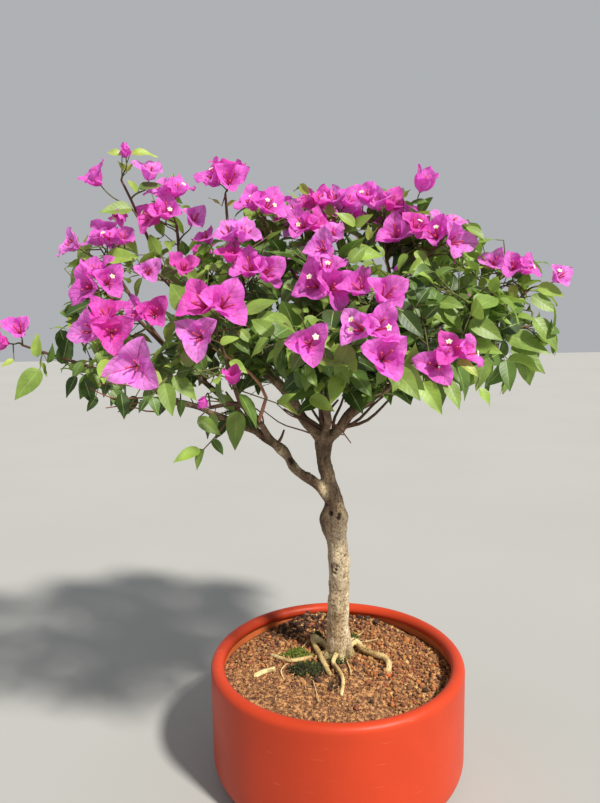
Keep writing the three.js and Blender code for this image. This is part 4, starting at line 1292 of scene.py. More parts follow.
def limb_coordinates(points, names):
    """For each point, its offset from the nearest limb's line, how far along it is, and that limb's width."""
    shares = np.linspace(0, 1, 41)
    own = [limbs[name] for name in names]
    lines = np.vstack([limb.curve.at(shares) for limb in own])
    alongs = np.concatenate([shares * limb.curve.lengths[-1] for limb in own])
    widths = np.array([limb.radius(s) for limb in own for s in shares])
    nearest = np.empty(len(points), dtype=int)
    for start in range(0, len(points), CHUNK):
        some = points[start:start + CHUNK]
        apart = ((some[:, None] - lines) ** 2).sum(-1) - widths ** 2
        nearest[start:start + CHUNK] = apart.argmin(axis=1)
    return points - lines[nearest], alongs[nearest], widths[nearest]


def bark_relief(points, names, share, most):
    """How far the bark stands out at each point, in mm: long ridges, lumps and fine pores."""
    offsets, along, widths = limb_coordinates(points, names)
    result = np.empty(len(points))
    for i, (offset, far, width) in enumerate(zip(offsets, along, widths)):
        x, y, _ = offset / max(width, 3) * 3.2
        ridges = noise.noise(Vector((x * 0.9, y * 0.9, far * 0.035)))
        lumps = noise.noise(Vector((x * 0.45, y * 0.45, far * 0.09 + 7)))
        pores = noise.noise(Vector((x * 2.6, y * 2.6, far * 0.3)))
        height = 0.9 * lumps + 0.6 * ridges - 0.5 * abs(ridges) ** 0.5 + 0.22 * pores
        result[i] = height * min(share * width, most)
    return result


def seen_on(tree, x, y):
    """The place on the skin at a pixel, or where the line of sight passes nearest to it."""
    sight = ray(x, y)
    hit = tree.ray_cast(Vector(CAMERA), Vector(sight))[0]
    if hit is None:
        far = norm(np.array([0, 0, 300]) - CAMERA)
        hit = tree.find_nearest(Vector(CAMERA + sight * far))[0]
    return np.array(hit)


def add_marks(points, faces, relief):
    """The knots and pits at their pixels on the trunk's front, and how pale the bark is at each point, which
    on the left limb is painted light.
    """
    tree = BVHTree.FromPolygons([Vector(p) for p in points], faces)

    def away(x, y, rise=1):
        return norm((points - seen_on(tree, x, y)) * [1, 1, rise])

    for marks, factor in ((TRUNK_PITS, -PITS_DEEPER), (TRUNK_SWELLINGS, 1)):
        for x, y, size, depth in marks:
            relief += factor * depth * np.exp(-(away(x, y) / size) ** 2)
    x, y, size, depth, wide = TRUNK_EYE
    relief -= depth * np.exp(-((away(x, y, 0.8) - size) / wide) ** 2)
    return np.minimum(sum(0.5 * np.exp(-(away(x, y, 0.6) / size) ** 2) for x, y, size in TRUNK_PALE_AND_LIT), 1)


def foot_flutes(points):
    """The trunk's foot runs out in low ribs towards the roots."""
    foot = points - [TRUNK[0][1], TRUNK[0][2], 0]
    bearing = np.arctan2(foot[:, 1], foot[:, 0])
    near = np.clip((FLUTES_REACH_UP - points[:, 2]) / FLUTES_FADE_OVER, 0, 1) ** 2
    near *= norm(foot[:, :2]) < FLUTES_WITHIN
    return near * FLUTES_DEPTH * (np.cos(5 * bearing + 0.7) + 0.4 * np.cos(9 * bearing))


LIMB_NAMES = ["trunk"] + [row[0] for row in BOUGHS]
ROOT_NAMES = [row[0] for row in ROOTS]


def make_wood():
    skin, points, normals = fused(LIMB_NAMES, BARK_SIDES, BARK_VOXEL)
    faces = [list(face.vertices) for face in skin.polygons]
    relief = bark_relief(points, LIMB_NAMES, *BARK_RELIEF) + foot_flutes(points)
    store(skin, "pale", add_marks(points, faces, relief))
    points += normals * relief[:, None]
    points[:, 2] = np.maximum(points[:, 2], SOIL_LEVEL - 4)
    material = bark_material("bark", ["bark_low", "bark_high_and_shade"], COLOURS["bark_pores"])
    finish_bark("trunk_and_boughs", skin, points, relief, BARK_SHADED, material, LIMB_NAMES)


# Thin roots on the soil, as pixels along each, and their radii.
ROOTLETS = [
    [[353, 640], [361, 633], [367, 629]], [[352, 644], [366, 640], [378, 638]],
    [[345, 657], [350, 668], [351, 676]], [[275, 667], [264, 669], [255, 673]],
    [[313, 680], [316, 690], [319, 700]], [[309, 641], [301, 648], [296, 655]],
    [[286, 664], [281, 670], [284, 677]],
]
ROOTLET_RADII = [1.0, 1.0, 0.9, 2.6, 0.7, 0.8, 0.7]


def make_roots():
    for name, track in ROOT_TRACKS.items():
        places = [limbs[name].curve.at(0)] + [on_level(x, y, SOIL_LEVEL + high) for x, y, high in track]
        limbs[name] = Limb(catmull_rom(places), limbs[name].radius, 10)
    every = list(ROOT_NAMES)
    for number, (row, radius) in enumerate(zip(ROOTLETS, ROOTLET_RADII)):
        spots = [on_level(x, y, SOIL_LEVEL + 2.5)[:2] for x, y in row]
        places = [[x, y, ground_height(x, y) + 1.6] for x, y in spots]
        every.append(f"rootlet_{number}")
        limbs[every[-1]] = Limb(catmull_rom(places), tapered([radius, radius]), 6)
    skin, points, normals = fused(every, ROOT_SIDES, ROOT_VOXEL)
    relief = bark_relief(points, every, *ROOT_RELIEF)
    points += normals * relief[:, None]
    material = bark_material("root", ["root"], COLOURS["root_pores"])
    finish_bark("surface_roots", skin, points, relief, ROOT_SHADED, material, ROOT_NAMES)


# Leaves: rows along the midrib, with a narrow lighter strip down the middle.

LEAF_ROWS = np.array([0.0, 0.07, 0.19, 0.35, 0.53, 0.71, 0.87, 1.0])
LEAF_COLUMNS = np.array([-1.0, -0.52, -0.045, 0.045, 0.52, 1.0])
LEAF_TONES = [DEEP_AND_SHADE, MID, BRIGHT, FRESH, YOUNG]
# How far a leaf bends, folds and ripples: the rule's own leaves, and the ones that the photograph shows.
RULE_LEAF = [[0.25, 0.95], [0.12, 0.42], [0.2, 0.9]]
SEEN_LEAF = [[0.15, 0.5], [0.12, 0.38], [0.2, 0.8]]


def outline(rows, base, tip, least):
    """The share of its full width that a leaf or bract has at each row, pointed at its tip."""
    peak = base / (base + tip)
    width = rows ** base * (1 - rows) ** tip / (peak ** base * (1 - peak) ** tip)
    return np.maximum(width, least)


def joined(*coordinates):
    """Rows of points from their coordinates over a blade's rows and columns."""
    return np.stack(np.broadcast_arrays(*coordinates), axis=-1).reshape(-1, len(coordinates))


def midrib_faces(rows, columns):
    """Which of a blade's faces lie in its middle strip."""
    strips = len(columns) - 1
    return [face % strips == strips // 2 for face in range((len(rows) - 1) * strips)]


LEAF_OUTLINE = outline(LEAF_ROWS, 0.55, 1.12, 0.03)
LEAF_FACES = grid_faces(len(LEAF_ROWS), len(LEAF_COLUMNS))
LEAF_TINTS = [int(rib) for rib in midrib_faces(LEAF_ROWS, LEAF_COLUMNS)]
LEAF_CHART = joined(LEAF_ROWS[:, None], LEAF_COLUMNS)


def leaf_points(length, width, bend, fold, wave, phase):
    """A leaf in its own coordinates: x along, y across, z up. It bends down, folds up and ripples."""
    turned = bend * LEAF_ROWS[:, None]
    across = LEAF_COLUMNS * LEAF_OUTLINE[:, None] * width / 2
    ripple = wave * np.sin(LEAF_ROWS[:, None] * 9 + phase + np.sign(across)) * LEAF_COLUMNS ** 2
    lift = np.abs(across) * math.tan(fold) + ripple
    x = length * np.sin(turned) / bend + lift * np.sin(turned)
    z = -length * (1 - np.cos(turned)) / bend + lift * np.cos(turned)
    return joined(x, across, z)


leaf_heaps = {tone: Heap() for tone in LEAF_TONES}
twig_heap = Heap()
blossom_heap = Heap()
flower_heap = Heap()
BROWN, GREEN, RED, STALK = range(4)
TWIG_TINTS = ["brown_twig", "green_twig", "red_stalk", "pale_stalk"]
HANGING_SPRIG = MIDDLES[[mass["name"] for mass in MASSES].index("hanging_sprig")]
branches = []


class KeptRoom:
    """Where leaves stay out: round cups, and before what the photograph shows."""

    def __init__(self):
        self.cups = []
        self.sights = []

    def round_cup(self, middle, radius):
        self.cups.append([*middle, radius])

    def before(self, place, radius):
        far = norm(place - CAMERA)
        self.sights.append([*(place - CAMERA) / far, radius, far])

    def settle(self):
        self.cups, self.sights = np.array(self.cups), np.array(self.sights)

    def crowded(self, middle):
        return (norm(self.cups[:, :3] - middle) < self.cups[:, 3]).any()

    def hides(self, *points):
        """Whether one of the points lies before a blossom, leaf or gap that the photograph shows."""
        ways, radii, fars = self.sights[:, :3], self.sights[:, 3], self.sights[:, 4]
        for point in points:
            offset = point - CAMERA
            along = ways @ offset
            aside = norm(offset - along[:, None] * ways)
            if ((aside < radii) & (along < fars)).any():
                return True
        return False


kept_room = KeptRoom()


def inside_outline(point):
    """Whether a point shows inside the crown's outline in the photograph."""
    x, y = pixels(point)
    inside = False
    for (ax, ay), (bx, by) in zip(CROWN_OUTLINE, CROWN_OUTLINE[1:] + CROWN_OUTLINE[:1]):
        if (ay > y) != (by > y) and x < ax + (y - ay) * (bx - ax) / (by - ay):
            inside = not inside
    return inside


def below_crown(tip, place, waver=0):
    """Whether a tip hangs below the crown's underside, at a place away from the hanging sprig."""
    return tip[2] < UNDERSIDE + waver and norm(place - HANGING_SPRIG) > HANGING_ROOM


def room_for_leaf(middle, tip):
    """Whether a leaf keeps inside the crown's outline and underside, and off the limbs and blossoms."""
    if not inside_outline(middle) or not inside_outline(tip):
        return False
    thinned = THINNED_BELOW + THINNED_MORE_LEFT * clamp((-50 - middle[0]) / 100)
    if noise.noise(Vector(middle * THIN_PATCHES)) < thinned:
        return False
    if below_crown(tip, middle, noise.noise(Vector(tip * 0.02)) * UNDERSIDE_WAVERS):
        return False
    if not clear_of_limbs(np.array([middle, tip]), LEAF_CLEARANCE, LIMB_NAMES):
        return False
    return not kept_room.crowded(middle) and not kept_room.hides(middle, tip)


def before_seen(path):
    """Whether a twig would pass before a blossom, leaf or gap that the photograph shows."""
    return kept_room.hides(*path.at(SIGHT_TESTED_AT))


def spaced(low, high, count):
    """Numbered shares, evenly spaced between two."""
    return [(k, mix(low, high, (k + 0.5) / count)) for k in range(count)]


def leaving(path, share, degrees, turn):
    """The way that something leaves a path, at this many degrees from it."""
    return lean(path.heading(share), math.radians(degrees), turn)


def add_twig(path, radii, sides, tint, share=1.0):
    """A twig along a curve, or along its first share. Leaf stalks may leave it."""
    shares = np.linspace(0, share, TWIG_ROWS)
    points = path.at(shares)
    twig_heap.add(*tube(points, mix(radii[0], radii[1], shares), sides), tint)
    branches.append(points)


def add_blade(rng, base, midrib, face, length, width, ways, tone):
    """A leaf from its base along its midrib, its face turned to the light."""
    across = unit(np.cross(face, midrib))
    axes = np.stack([midrib, across, np.cross(midrib, across)])
    shape = leaf_points(length, width, *[rng.uniform(*way) for way in ways], rng.uniform(0, TURN))
    leaf_heaps[tone].add(base + shape @ axes, LEAF_FACES, LEAF_TINTS, LEAF_CHART)


def add_leaf(rng, point, midrib, face, length, tone):
    midrib = unit(midrib)
    if not room_for_leaf(point + midrib * length * 0.6, point + midrib * length * 1.1):
        return False
    base = point + midrib * rng.uniform(0.7, 1.2) * PETIOLE
    twig_heap.add(*tube(np.array([point, base]), [0.45, 0.4], 3), GREEN)
    width = length * LEAF_WIDTH * rng.uniform(0.9, 1.12)
    add_blade(rng, base, midrib, face, length, width, RULE_LEAF, tone)
    return True


def tone_for(rng, point):
    """Brighter leaves out in the light, deep green inside: partly the leaves' own tones, partly painted light
    outside and painted shade inside the crown.
    """
    # painted light and shade: higher and outer leaves get brighter tones, inner ones deeper
    light = (point[2] - 400) / 200 + (norm((point - HEART)[:2]) - 110) / 160
    return LEAF_TONES[int(clamp(light * 1.5 + rng.normal() * 0.7 + 1.0, 0, 3))]


def spray(rng, start, heading, length, size, out):
    """A fine twig that turns up to the light, with leaves by turns. It ends at its last leaf."""
    end = start + heading * length + UP * length * 0.15
    path = bezier(start, start + heading * length * 0.5, end)
    if below_crown(end, end) or before_seen(path):
        return False
    tone = tone_for(rng, end)
    count = max(int(length / LEAF_SPACING), 2)
    turn = rng.uniform(0, TURN)
    reached = 0
    for k in range(count + 1):
        share = (k + 0.7) / (count + 1)
        tip = k == count
        degrees = END_LEAF_LEAVES_AT if tip else rng.uniform(*LEAVES_LEAVE_AT)
        midrib = leaving(path, share, degrees, turn + k * GOLDEN_ANGLE)
        midrib = midrib - UP * rng.uniform(0.0, 0.2 if tip else 0.45)
        face = UP * 0.8 + out + rng.normal(size=3) * 0.35
        young = tip and rng.uniform() < 0.5
        here = rng.uniform(*LEAF_LENGTH) * size * (END_LEAF_SIZE if tip else 1)
        if add_leaf(rng, path.at(share), midrib, face, here, FRESH if young else tone):
            reached = share
    if reached:
        add_twig(path, SPRAY_RADII, 4, GREEN, reached)
    return reached > 0


def leafy_stalk(rng, path, radii, leaves, tint, size, tone, end=1.0):
    """A bare stalk with a few leaves by turns along it."""
    add_twig(path, radii, 5, tint, end)
    turn = rng.uniform(0, TURN)
    for k, share in spaced(0.3, 0.95, leaves):
        midrib = leaving(path, share * end, rng.uniform(40, 70), turn + k * GOLDEN_ANGLE) - UP * 0.1
        face = UP + rng.normal(size=3) * 0.3
        add_leaf(rng, path.at(share * end), midrib, face, rng.uniform(*LEAF_LENGTH) * size, tone)


def dressed_twig(rng, path, out, radii, sprays, whole=False):
    """A twig with sprays along it. It ends at its last spray, unless it carries something at its tip."""
    if not whole and before_seen(path):
        return
    turn = rng.uniform(0, TURN)
    reached = 0
    for k, share in spaced(0.3, 0.92, sprays):
        heading = leaving(path, share, rng.uniform(*LEAVES_LEAVE_AT), turn + k * GOLDEN_ANGLE)
        heading = not_steep(heading)
        if spray(rng, path.at(share), heading, rng.uniform(*SPRAY_LENGTH), 1, out):
            reached = share
    if whole or reached:
        add_twig(path, radii, 5, GREEN, 1.0 if whole else reached)


def bent(start, end, out, bend=0.1):
    """A twig's line from one point to another, arched outwards and up."""
    middle = mix(start, end, 0.5) + (out * 0.5 + UP * 0.5) * norm(end - start) * bend
    return bezier(start, middle, end)


# Blossom: cups of three papery bracts round three slender tubes, some of them open in a cream star.

BRACT_ROWS = np.linspace(0, 1, 11)
BRACT_COLUMNS = np.array([-1.0, -0.7, -0.36, -0.04, 0.04, 0.36, 0.7, 1.0])
BRACT_OUTLINE = outline(BRACT_ROWS, 0.58, 0.80, 0.03)
BRACT_FACES = grid_faces(len(BRACT_ROWS), len(BRACT_COLUMNS))
BRACT_RIBS = midrib_faces(BRACT_ROWS, BRACT_COLUMNS)
BRACT_CHART = joined(BRACT_ROWS[:, None], BRACT_COLUMNS)
BRACT_TONES = ["bract_pink", "bract_deep", "bract_light", "bract_rib"]
RIB = 3
BRACT_WIDTH = 0.78
BRACT_CRUMPLE = 1.25
CUPS_LEAN = {1: 0, 2: math.radians(24), 3: math.radians(33)}
# Three tubes to a cup: how far along each its radii are given. Some end in an open star.
TUBE_AT = np.array([0.05, 0.35, 0.7, 1.0])
TUBE_RADII = np.array([0.5625, 0.8625, 0.6, 0.9])
STAR_POINTS = 5
STARS_OPEN = 0.14
STAR_RADII = [2.7, 1.8]
THROAT_RADIUS = 0.9
FLOWER_TINTS = ["flower_tube", "flower_star", "flower_throat"]


def bract_points(rng, length, opening, closing):
    """One bract in its cup's coordinates: x outwards, y round, z along the cup's axis.

    opening is its angle from the axis at the foot and at the tip, and how far its tip curls on outwards.
    """
    rows = BRACT_ROWS[:, None]
    at_foot, at_tip, curl = opening
    angles = mix(at_foot, at_tip, BRACT_ROWS ** 0.8) + curl * BRACT_ROWS ** 5
    step = length / (len(BRACT_ROWS) - 1)
    out = 1.2 + np.concatenate([[0], np.cumsum(np.sin(angles[:-1]) * step)])
    up = np.concatenate([[0], np.cumsum(np.cos(angles[:-1]) * step)])
    across = BRACT_COLUMNS * BRACT_OUTLINE[:, None] * length * BRACT_WIDTH / 2
    hollow = closing * np.sin((1 - rows) * math.pi * 0.62) * across ** 2 / (length * 0.32)
    phases = rng.uniform(0, TURN, 3)
    edge = rng.uniform(1.2, 2.6) * np.sin(rows * 9 + phases[0] + 2 * np.sign(across)) * BRACT_COLUMNS ** 2
    crumple = np.sin(rows * 14 + phases[1] + BRACT_COLUMNS * 3) * np.sin(BRACT_COLUMNS * 5 + phases[2])
    crumple = crumple * np.sin(rows * math.pi) ** 0.5
    crease = -1.0 * np.exp(-(BRACT_COLUMNS / 0.2) ** 2) * np.sin(rows * math.pi)
    inwards = hollow + edge + BRACT_CRUMPLE * crumple + crease
    x = out[:, None] - inwards * np.cos(angles)[:, None]
    z = up[:, None] + inwards * np.sin(angles)[:, None]
    return joined(x, across, z)


def add_cup(rng, point, axis, turn, length, tone, open_to):
    """Three bracts, their tubes and any open flowers, round an axis."""
    tints = [RIB if rib else tone for rib in BRACT_RIBS]
    for k in range(3):
        outwards = lean(axis, math.pi / 2, turn + k * TURN / 3 + rng.normal() * 0.1)
        axes = np.stack([outwards, np.cross(axis, outwards), axis])
        wide = open_to * rng.uniform(0.85, 1.15)
        opening = (math.radians(rng.uniform(14, 26)), wide, rng.uniform(0.0, 0.7) if wide > 0.6 else 0)
        shape = bract_points(rng, length * rng.uniform(0.92, 1.06), opening, rng.uniform(0.4, 0.8))
        blossom_heap.add(point + shape @ axes, BRACT_FACES, tints, BRACT_CHART)
        if open_to > math.radians(HALF):
            add_flower(rng, point, unit(axis + outwards * 0.3), length)


def add_flower(rng, point, heading, length):
    """A slender tube, which may end in an open star with a pale throat."""
    path = point + np.outer(TUBE_AT * length * rng.uniform(0.5, 0.68), heading)
    flower_heap.add(*tube(path, TUBE_RADII, 5), 0)
    if rng.uniform() < STARS_OPEN:
        tip = path[-1] + heading * 0.9
        count = 2 * STAR_POINTS
        side = unit(np.cross(heading, UP + RIGHT * 0.3))
        ring = circle(np.arange(count) * math.pi / STAR_POINTS, side, np.cross(heading, side))
        rim = tip + ring * np.resize(STAR_RADII, (count, 1)) + heading * 0.8
        flower_heap.add(np.vstack([rim, [tip]]), [[count, a, b] for a, b in zip(*round_of(count))], 1)
        flower_heap.add(tip + ring * THROAT_RADIUS + heading * 0.75, [list(range(count))], 2)


def blossom(rng, tip, axis, cups, length, turn, opens):
    """Cups on short stalks round the end of a twig, each leaning its own way."""
    for k in range(cups):
        heading = unit(lean(axis, CUPS_LEAN[cups], turn + k * TURN / cups))
        foot = tip + heading * (4 if cups == 1 else length * 0.4)
        path = np.array([tip, mix(tip, foot, 0.5) + axis * 0.8, foot])
        twig_heap.add(*tube(path, [0.7, 0.6, 0.7], 4), GREEN)
        tone = int(rng.choice([0, 0, 1, 2]))
        widest = math.radians(opens * rng.uniform(0.88, 1.15))
        add_cup(rng, foot, heading, turn + 1 + k * 1.1, length * rng.uniform(0.93, 1.05), tone, widest)


def rule_twigs(index):
    """The mass's twigs as the part grows them: its number, and where it starts and ends."""
    mass = MASSES[index]
    stem = limbs[mass["name"]].curve
    out = outlook(mass)
    others = [name for name in limbs if name != mass["name"]]
    shoot = mass["tilt"] is SHOOT
    for number in range(mass["twigs"]):
        draw = seeded(SEED + index * SEED_PER_MASS + number * SEED_PER_TWIG)
        share = (number - 0.5) / max(mass["twigs"] - 1, 1)
        turn = number * GOLDEN_ANGLE + index * TURN_PER_MASS + mix(*TWIG_TURNS_BY, draw())
        wide = mix(*TWIG_ANGLES, share) * mix(*TWIG_WIDENS_BY, draw())
        length = mass["spread"] * mix(*TWIG_LENGTHS, draw())
        if number == 0:
            yield number, stem.at(STEM_TWIG_AT), stem.at(1)
            continue
        start = stem.at(mix(*TWIGS_LEAVE_AT["shoot" if shoot else "mass"], share))
        centre = start if shoot else MIDDLES[index]
        heading = not_steep(lean(out, min(wide, WIDEST_ON_SHOOT) if shoot else wide, turn))
        for shorter in SHORTER:
            end = centre + heading * length * shorter
            tested = start + np.outer(TWIG_TESTED_AT, end - start)
            clearance = TWIG_RADII[0] + LIMB_CLEARANCE
            if inside_own_space(index, tested) and clear_of_limbs(tested, clearance, others):
                yield number, start, end
                break


def aimed(right, up):
    """A direction towards the camera, turned right by one angle and up by another."""
    right, up = math.radians(right), math.radians(up)
    return np.array([math.sin(right) * math.cos(up), -math.cos(right) * math.cos(up), math.sin(up)])


def abreast(x, y, place, nearer=0):
    """The place at a pixel that is as far from the camera as another, or nearer by this much."""
    sight = ray(x, y)
    return CAMERA + sight * ((place - CAMERA) @ sight - nearer)


def place_seen(x, y, may_carry=lambda mass: True):
    """The mass that a seen blossom or leaf belongs to, and its place in front of that mass's middle."""
    at = pixels(MIDDLES)
    front = (MIDDLES[:, 1] < FRONT_MASSES) & [may_carry(mass) for mass in MASSES]
    index = int(np.where(front, np.hypot(at[:, 0] - x, at[:, 1] - y), math.inf).argmin())
    lower = clamp((y - at[index, 1]) * LOWER_STAND_OUT, -8, 22)
    towards = MIDDLES[index] - ray(x, y) * (MASSES[index]["spread"] * 0.7 + lower)
    return index, abreast(x, y, towards)


def before_limbs(place, radius):
    """The place brought towards the camera, up to a limit, until no bough or stem passes before it."""
    far = norm(place - CAMERA)
    sight = (place - CAMERA) / far
    above = [limb.curve for name, limb in limbs.items() if not name.startswith("root")]
    offsets = np.concatenate([curve.at(np.linspace(0.1, 1, 25)) for curve in above]) - CAMERA
    along = offsets @ sight
    crossing = along[norm(offsets - along[:, None] * sight) < radius]
    nearest = crossing.min() - LIMBS_BEHIND if len(crossing) else far
    return CAMERA + sight * clamp(nearest, far - MOST_FORWARD, far)


def stalk_share(stem, tip):
    """How far along a stem a stalk to this tip would leave: near it, but low enough that it rises."""
    shares = np.linspace(0.3, 0.98, 28)
    points = stem.at(shares)
    rise = tip[2] - points[:, 2]
    aside = norm((tip - points)[:, :2])
    cost = norm(tip - points) + 2 * np.maximum(0.7 * aside - rise, 0)
    return shares[cost.argmin()]


def blooms(mass):
    return mass["blossoms"] > 0 or mass["tilt"] is SHOOT


def seen_blossoms():
    """The blossoms that the photograph shows, each with its mass and where its twig ends."""
    seen = []
    for x, y, right, up, cups, length, opens in SEEN_BLOSSOMS:
        index, place = place_seen(x, y, blooms)
        place = before_limbs(place, length * (0.8 if cups == 1 else 1.1))
        axis = aimed(right, up)
        middle = 0.35 if cups == 1 else 0.6
        seen.append((index, place - axis * length * middle, axis, cups, length, opens))
    return seen


def hidden_blossoms(shown):
    """The rule's own blossoms, on the sides that the photograph hides: their twigs and ways they look."""
    shown_at = np.array([row[:2] for row in SEEN_BLOSSOMS])
    hidden = {}
    for index, mass in enumerate(MASSES):
        away = unit((MIDDLES[index] - CAMERA) * [1, 1, 0])
        for number, start, end in rule_twigs(index):
            axis = unit(unit(end - start) + UP * 0.25)
            behind = (end - MIDDLES[index]) @ away > -mass["spread"] * 0.15
            crowds = norm(shown_at - pixels(end)).min() < SEEN_KEEP_CLEAR
            bare = index in shown and (mass["tilt"] is SHOOT or not behind)
            bare = bare or not inside_outline(end + UP * 10) or not inside_outline(end + axis * 26)
            bare = bare or (end[1] < HEART[1] and crowds)
            if number < mass["blossoms"] and not bare:
                hidden[index, number] = axis
    return hidden


# Room that leaves keep to a single cup and to several: how far along the axis its middle is, its
# radius, and how wide the line of sight to it stays free, in bract lengths.
ROOM_FOR_ONE = [0.7, 0.75, 0.65]
ROOM_FOR_MORE = [0.9, 1.1, 0.95]
VERY_FAR = 1e5


def keep_room(seen, hidden):
    """Room round each cup, and for seen ones along the line of sight, that leaves stay out of."""
    for _, tip, axis, cups, length, _ in seen:
        along, radius, free = ROOM_FOR_ONE if cups < 2 else ROOM_FOR_MORE
        middle = tip + axis * length * along
        kept_room.round_cup(middle, length * radius)
        kept_room.before(middle, length * free)
    for (index, number), axis in hidden.items():
        end = next(end for n, _, end in rule_twigs(index) if n == number)
        kept_room.round_cup(end + axis * 20, 16)
    for x, y, tip_x, tip_y, _ in SEEN_LEAVES:
        _, place = place_seen(mix(x, tip_x, 0.5), mix(y, tip_y, 0.5))
        kept_room.before(place, math.hypot(tip_x - x, tip_y - y) * 0.3)
    for place in catmull_rom(seen_twig_points(*FRONT_STALK)).at(np.linspace(0.3, 1, 14)):
        kept_room.before(place, STALK_SHOWS)
    for x, y, radius in CROWN_GAPS:
        kept_room.before(CAMERA + ray(x, y) * VERY_FAR, radius)
    kept_room.settle()


def grow_mass(rng, index, seen, hidden):
    mass = MASSES[index]
    stem = limbs[mass["name"]].curve
    out = outlook(mass)
    shoot = mass["tilt"] is SHOOT
    if shoot:
        last = max((stalk_share(stem, row[1]) for row in seen if row[0] == index), default=1.0)
        leafy_stalk(rng, stem, STEM_RADII, 3, BROWN, 0.6, BRIGHT, last)
    else:
        add_twig(stem, STEM_RADII, 6, BROWN, STEM_TWIG_AT)
        for _, share in spaced(0.35, 0.8, 3):
            heading = not_steep(leaving(stem, share, rng.uniform(50, 80), rng.uniform(0, TURN)))
            spray(rng, stem.at(share), heading, rng.uniform(*SPRAY_LENGTH), 1, out)
    for number, start, end in rule_twigs(index):
        path = bent(start, end, out, 0 if number == 0 else 0.1)
        axis = hidden.get((index, number))
        blooming = axis is not None
        if shoot and blooming:
            leafy_stalk(rng, path, [0.9, 0.6], 2, GREEN, 0.6, FRESH)
        if not shoot:
            if not blooming and before_seen(path):
                continue
            ends_leafy = not blooming and spray(rng, end, unit(path.heading(1)), 16, 0.9, out)
            dressed_twig(rng, path, out, TWIG_RADII, SPRAYS_PER_TWIG, blooming or ends_leafy)
        if blooming:
            cups = int(rng.choice(HIDDEN_CUPS))
            length = rng.uniform(*HIDDEN_BRACTS)
            blossom(rng, end, axis, cups, length, rng.uniform(0, TURN), OPEN)


def grow_seen_leaf(rng, x, y, tip_x, tip_y, tone):
    """A leaf between two pixels, its face to the light and the camera, on a stalk from the nearest twig."""
    _, base = place_seen(x, y)
    base = base + ray(x, y) * rng.uniform(-6, 10)
    sight = ray(tip_x, tip_y)
    tip = abreast(tip_x, tip_y, base)
    width = norm(tip - base) * LEAF_WIDTH * rng.uniform(0.9, 1.1)
    tip -= sight * norm(tip - base) * rng.uniform(0.0, 0.35)
    places = np.concatenate(branches)
    before = np.maximum(STALKS_PASS_BEHIND - (places - base) @ sight, 0)
    start = places[(norm(places - base) + 2 * before).argmin()]
    path = bezier(start, mix(start, base, 0.5) + sight * STALKS_PASS_BEHIND, base)
    twig_heap.add(*tube(path.at(np.linspace(0, 1, 5)), np.linspace(0.55, 0.4, 5), 4), GREEN)
    face = UP * 0.7 - sight * rng.uniform(0.5, 1.1) + rng.normal(size=3) * 0.25
    add_blade(rng, base, unit(tip - base), face, norm(tip - base) * 1.06, width, SEEN_LEAF, tone)


def limb_point(x, y):
    """The point on a limb's line that shows nearest to a pixel."""
    points = np.concatenate([limbs[name].curve.at(np.linspace(0.1, 1, 30)) for name in LIMB_NAMES])
    return points[norm(pixels(points) - [x, y]).argmin()]


def seen_twig_points(first, *pixels_along):
    """Where a bare twig leaves a limb at one pixel, and the places it runs through at the next ones."""
    start = limb_point(*first)
    return [start] + [abreast(x, y, start, TWIGS_IN_FRONT) for x, y in pixels_along]


def grow_seen_twigs(rows, radii, tint):
    for row in rows:
        add_twig(catmull_rom(seen_twig_points(*row)), radii, 5, tint)


def grow_seen(rng, index, tip, axis, cups, length, opens):
    """A seen blossom on its own twig, which leaves the stem of the mass that it belongs to."""
    stem = limbs[MASSES[index]["name"]].curve
    start = stem.at(stalk_share(stem, tip))
    behind = tip - axis * norm(tip - start) * 0.4
    path = bezier(start, mix(start, tip, 0.4) + UP * 4, behind, tip)
    if MASSES[index]["tilt"] is SHOOT:
        leafy_stalk(rng, path, BLOSSOM_STALK_RADII, 2, GREEN, 0.55, FRESH)
    else:
        dressed_twig(rng, path, unit(tip - start), TWIG_RADII, 2, True)
    first = max(np.linspace(0, TURN, 24), key=lambda turn: lean(axis, 1, turn) @ RIGHT)
    turn = first + (TURN / 4 if cups == 3 else 0) + rng.normal() * 0.25
    blossom(rng, tip, axis, cups, length, turn, opens)


def grow_bough_sprays(rng, name):
    """Leaves along the outer part of a bough, and more towards the light on the ones that run inside."""
    bough = limbs[name].curve
    inner = name in INNER_BOUGHS
    for _, share in spaced(0.35 if inner else 0.6, 0.98, BOUGH_SPRAYS.get(name, 8 if inner else 5)):
        start = bough.at(share)
        heading = leaving(bough, share, rng.uniform(40, 85), rng.uniform(0, TURN))
        heading = unit(heading + UP * (1.0 if inner else 0.3))
        length = rng.uniform(*SPRAY_LENGTH) * (1.7 if inner else 1)
        if inner:
            path = bezier(start, start + heading * length * 0.5 + UP * 3, start + heading * length)
            dressed_twig(rng, path, UP, TWIG_RADII, 3)
        else:
            spray(rng, start, heading, length, 0.9, UP)


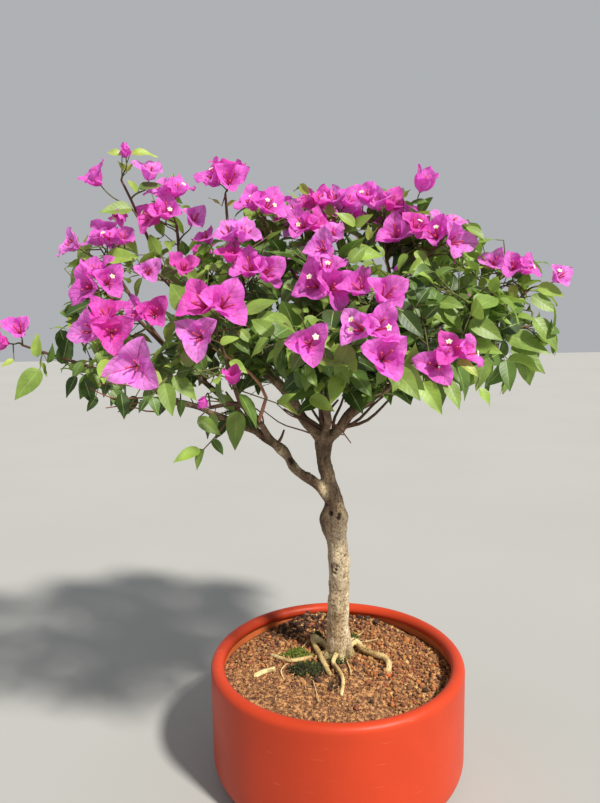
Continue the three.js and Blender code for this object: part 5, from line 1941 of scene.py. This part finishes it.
def make_crown():
    rng = np.random.default_rng(SEED + 1)
    seen = seen_blossoms()
    hidden = hidden_blossoms({row[0] for row in seen})
    keep_room(seen, hidden)
    for index in range(len(MASSES)):
        grow_mass(rng, index, seen, hidden)
    for row in seen:
        grow_seen(rng, *row)
    grow_seen_twigs(SHADED_TWIGS, SHADED_TWIG_RADII, BROWN)
    grow_seen_twigs(SEEN_TWIGS, SEEN_TWIG_RADII, RED)
    grow_seen_twigs([FRONT_STALK], FRONT_STALK_RADII, STALK)
    for row in SEEN_LEAVES:
        grow_seen_leaf(rng, *row)
    for name, *_ in BOUGHS:
        grow_bough_sprays(rng, name)
    every = [mass["name"] for mass in MASSES]
    rib = blade_material("leaf_rib", LEAF_LOOK)
    for tone, heap in leaf_heaps.items():
        materials = [blade_material(tone, LEAF_LOOK), rib]
        heap.piece(tone.replace("leaf", "leaves"), materials, "leaves", every)
    twig_heap.piece("twigs", [plain_material(n, COLOURS[n], 0.7) for n in TWIG_TINTS], "leaves", every)
    bracts = [blade_material(tone, BRACT_LOOK) for tone in BRACT_TONES]
    blossom_heap.piece("bracts", bracts, "blossom", every)
    flowers = [plain_material(n, COLOURS[n], 0.6, glow=0.2) for n in FLOWER_TINTS]
    flower_heap.piece("flowers", flowers, "blossom", every)


# Stage and light.

FLOOR_REACH = 6
FLOOR_ROUGHNESS = 0.8
SKY_COLOUR = (0.93, 0.96, 1.0, 1)
SKY_STRENGTH = 0.46
# The sun: degrees right of the camera and up, strength, softness in degrees, colour.
SUN_AIM = [42, 47]
SUN_STRENGTH = 5.5
SUN_SOFTNESS = 6
SUN_COLOUR = (1.0, 0.96, 0.88)


def make_stage():
    data = bpy.data.meshes.new("floor")
    corners = [(x * FLOOR_REACH, y * FLOOR_REACH, 0) for x, y in ((-1, -1), (1, -1), (1, 1), (-1, 1))]
    data.from_pydata(corners, [], [(0, 1, 2, 3)])
    material = plain_material("floor", COLOURS["floor"], FLOOR_ROUGHNESS, change=0.01, scale=2, bump=0)
    data.materials.append(material)
    placed("floor", data)


def make_light():
    world = bpy.data.worlds.new("studio")
    world.use_nodes = True
    sky = world.node_tree.nodes["Background"]
    sky.inputs["Color"].default_value = SKY_COLOUR
    sky.inputs["Strength"].default_value = SKY_STRENGTH
    bpy.context.scene.world = world
    sun = bpy.data.lights.new("key", "SUN")
    sun.energy = SUN_STRENGTH
    sun.angle = math.radians(SUN_SOFTNESS)
    sun.color = SUN_COLOUR
    placed("key", sun).rotation_euler = Vector(aimed(*SUN_AIM)).to_track_quat("Z", "Y").to_euler()
    bpy.context.scene.view_settings.view_transform = "Standard"


make_camera()
make_pot()
make_soil()
make_wood()
make_roots()
make_crown()
make_stage()
make_light()
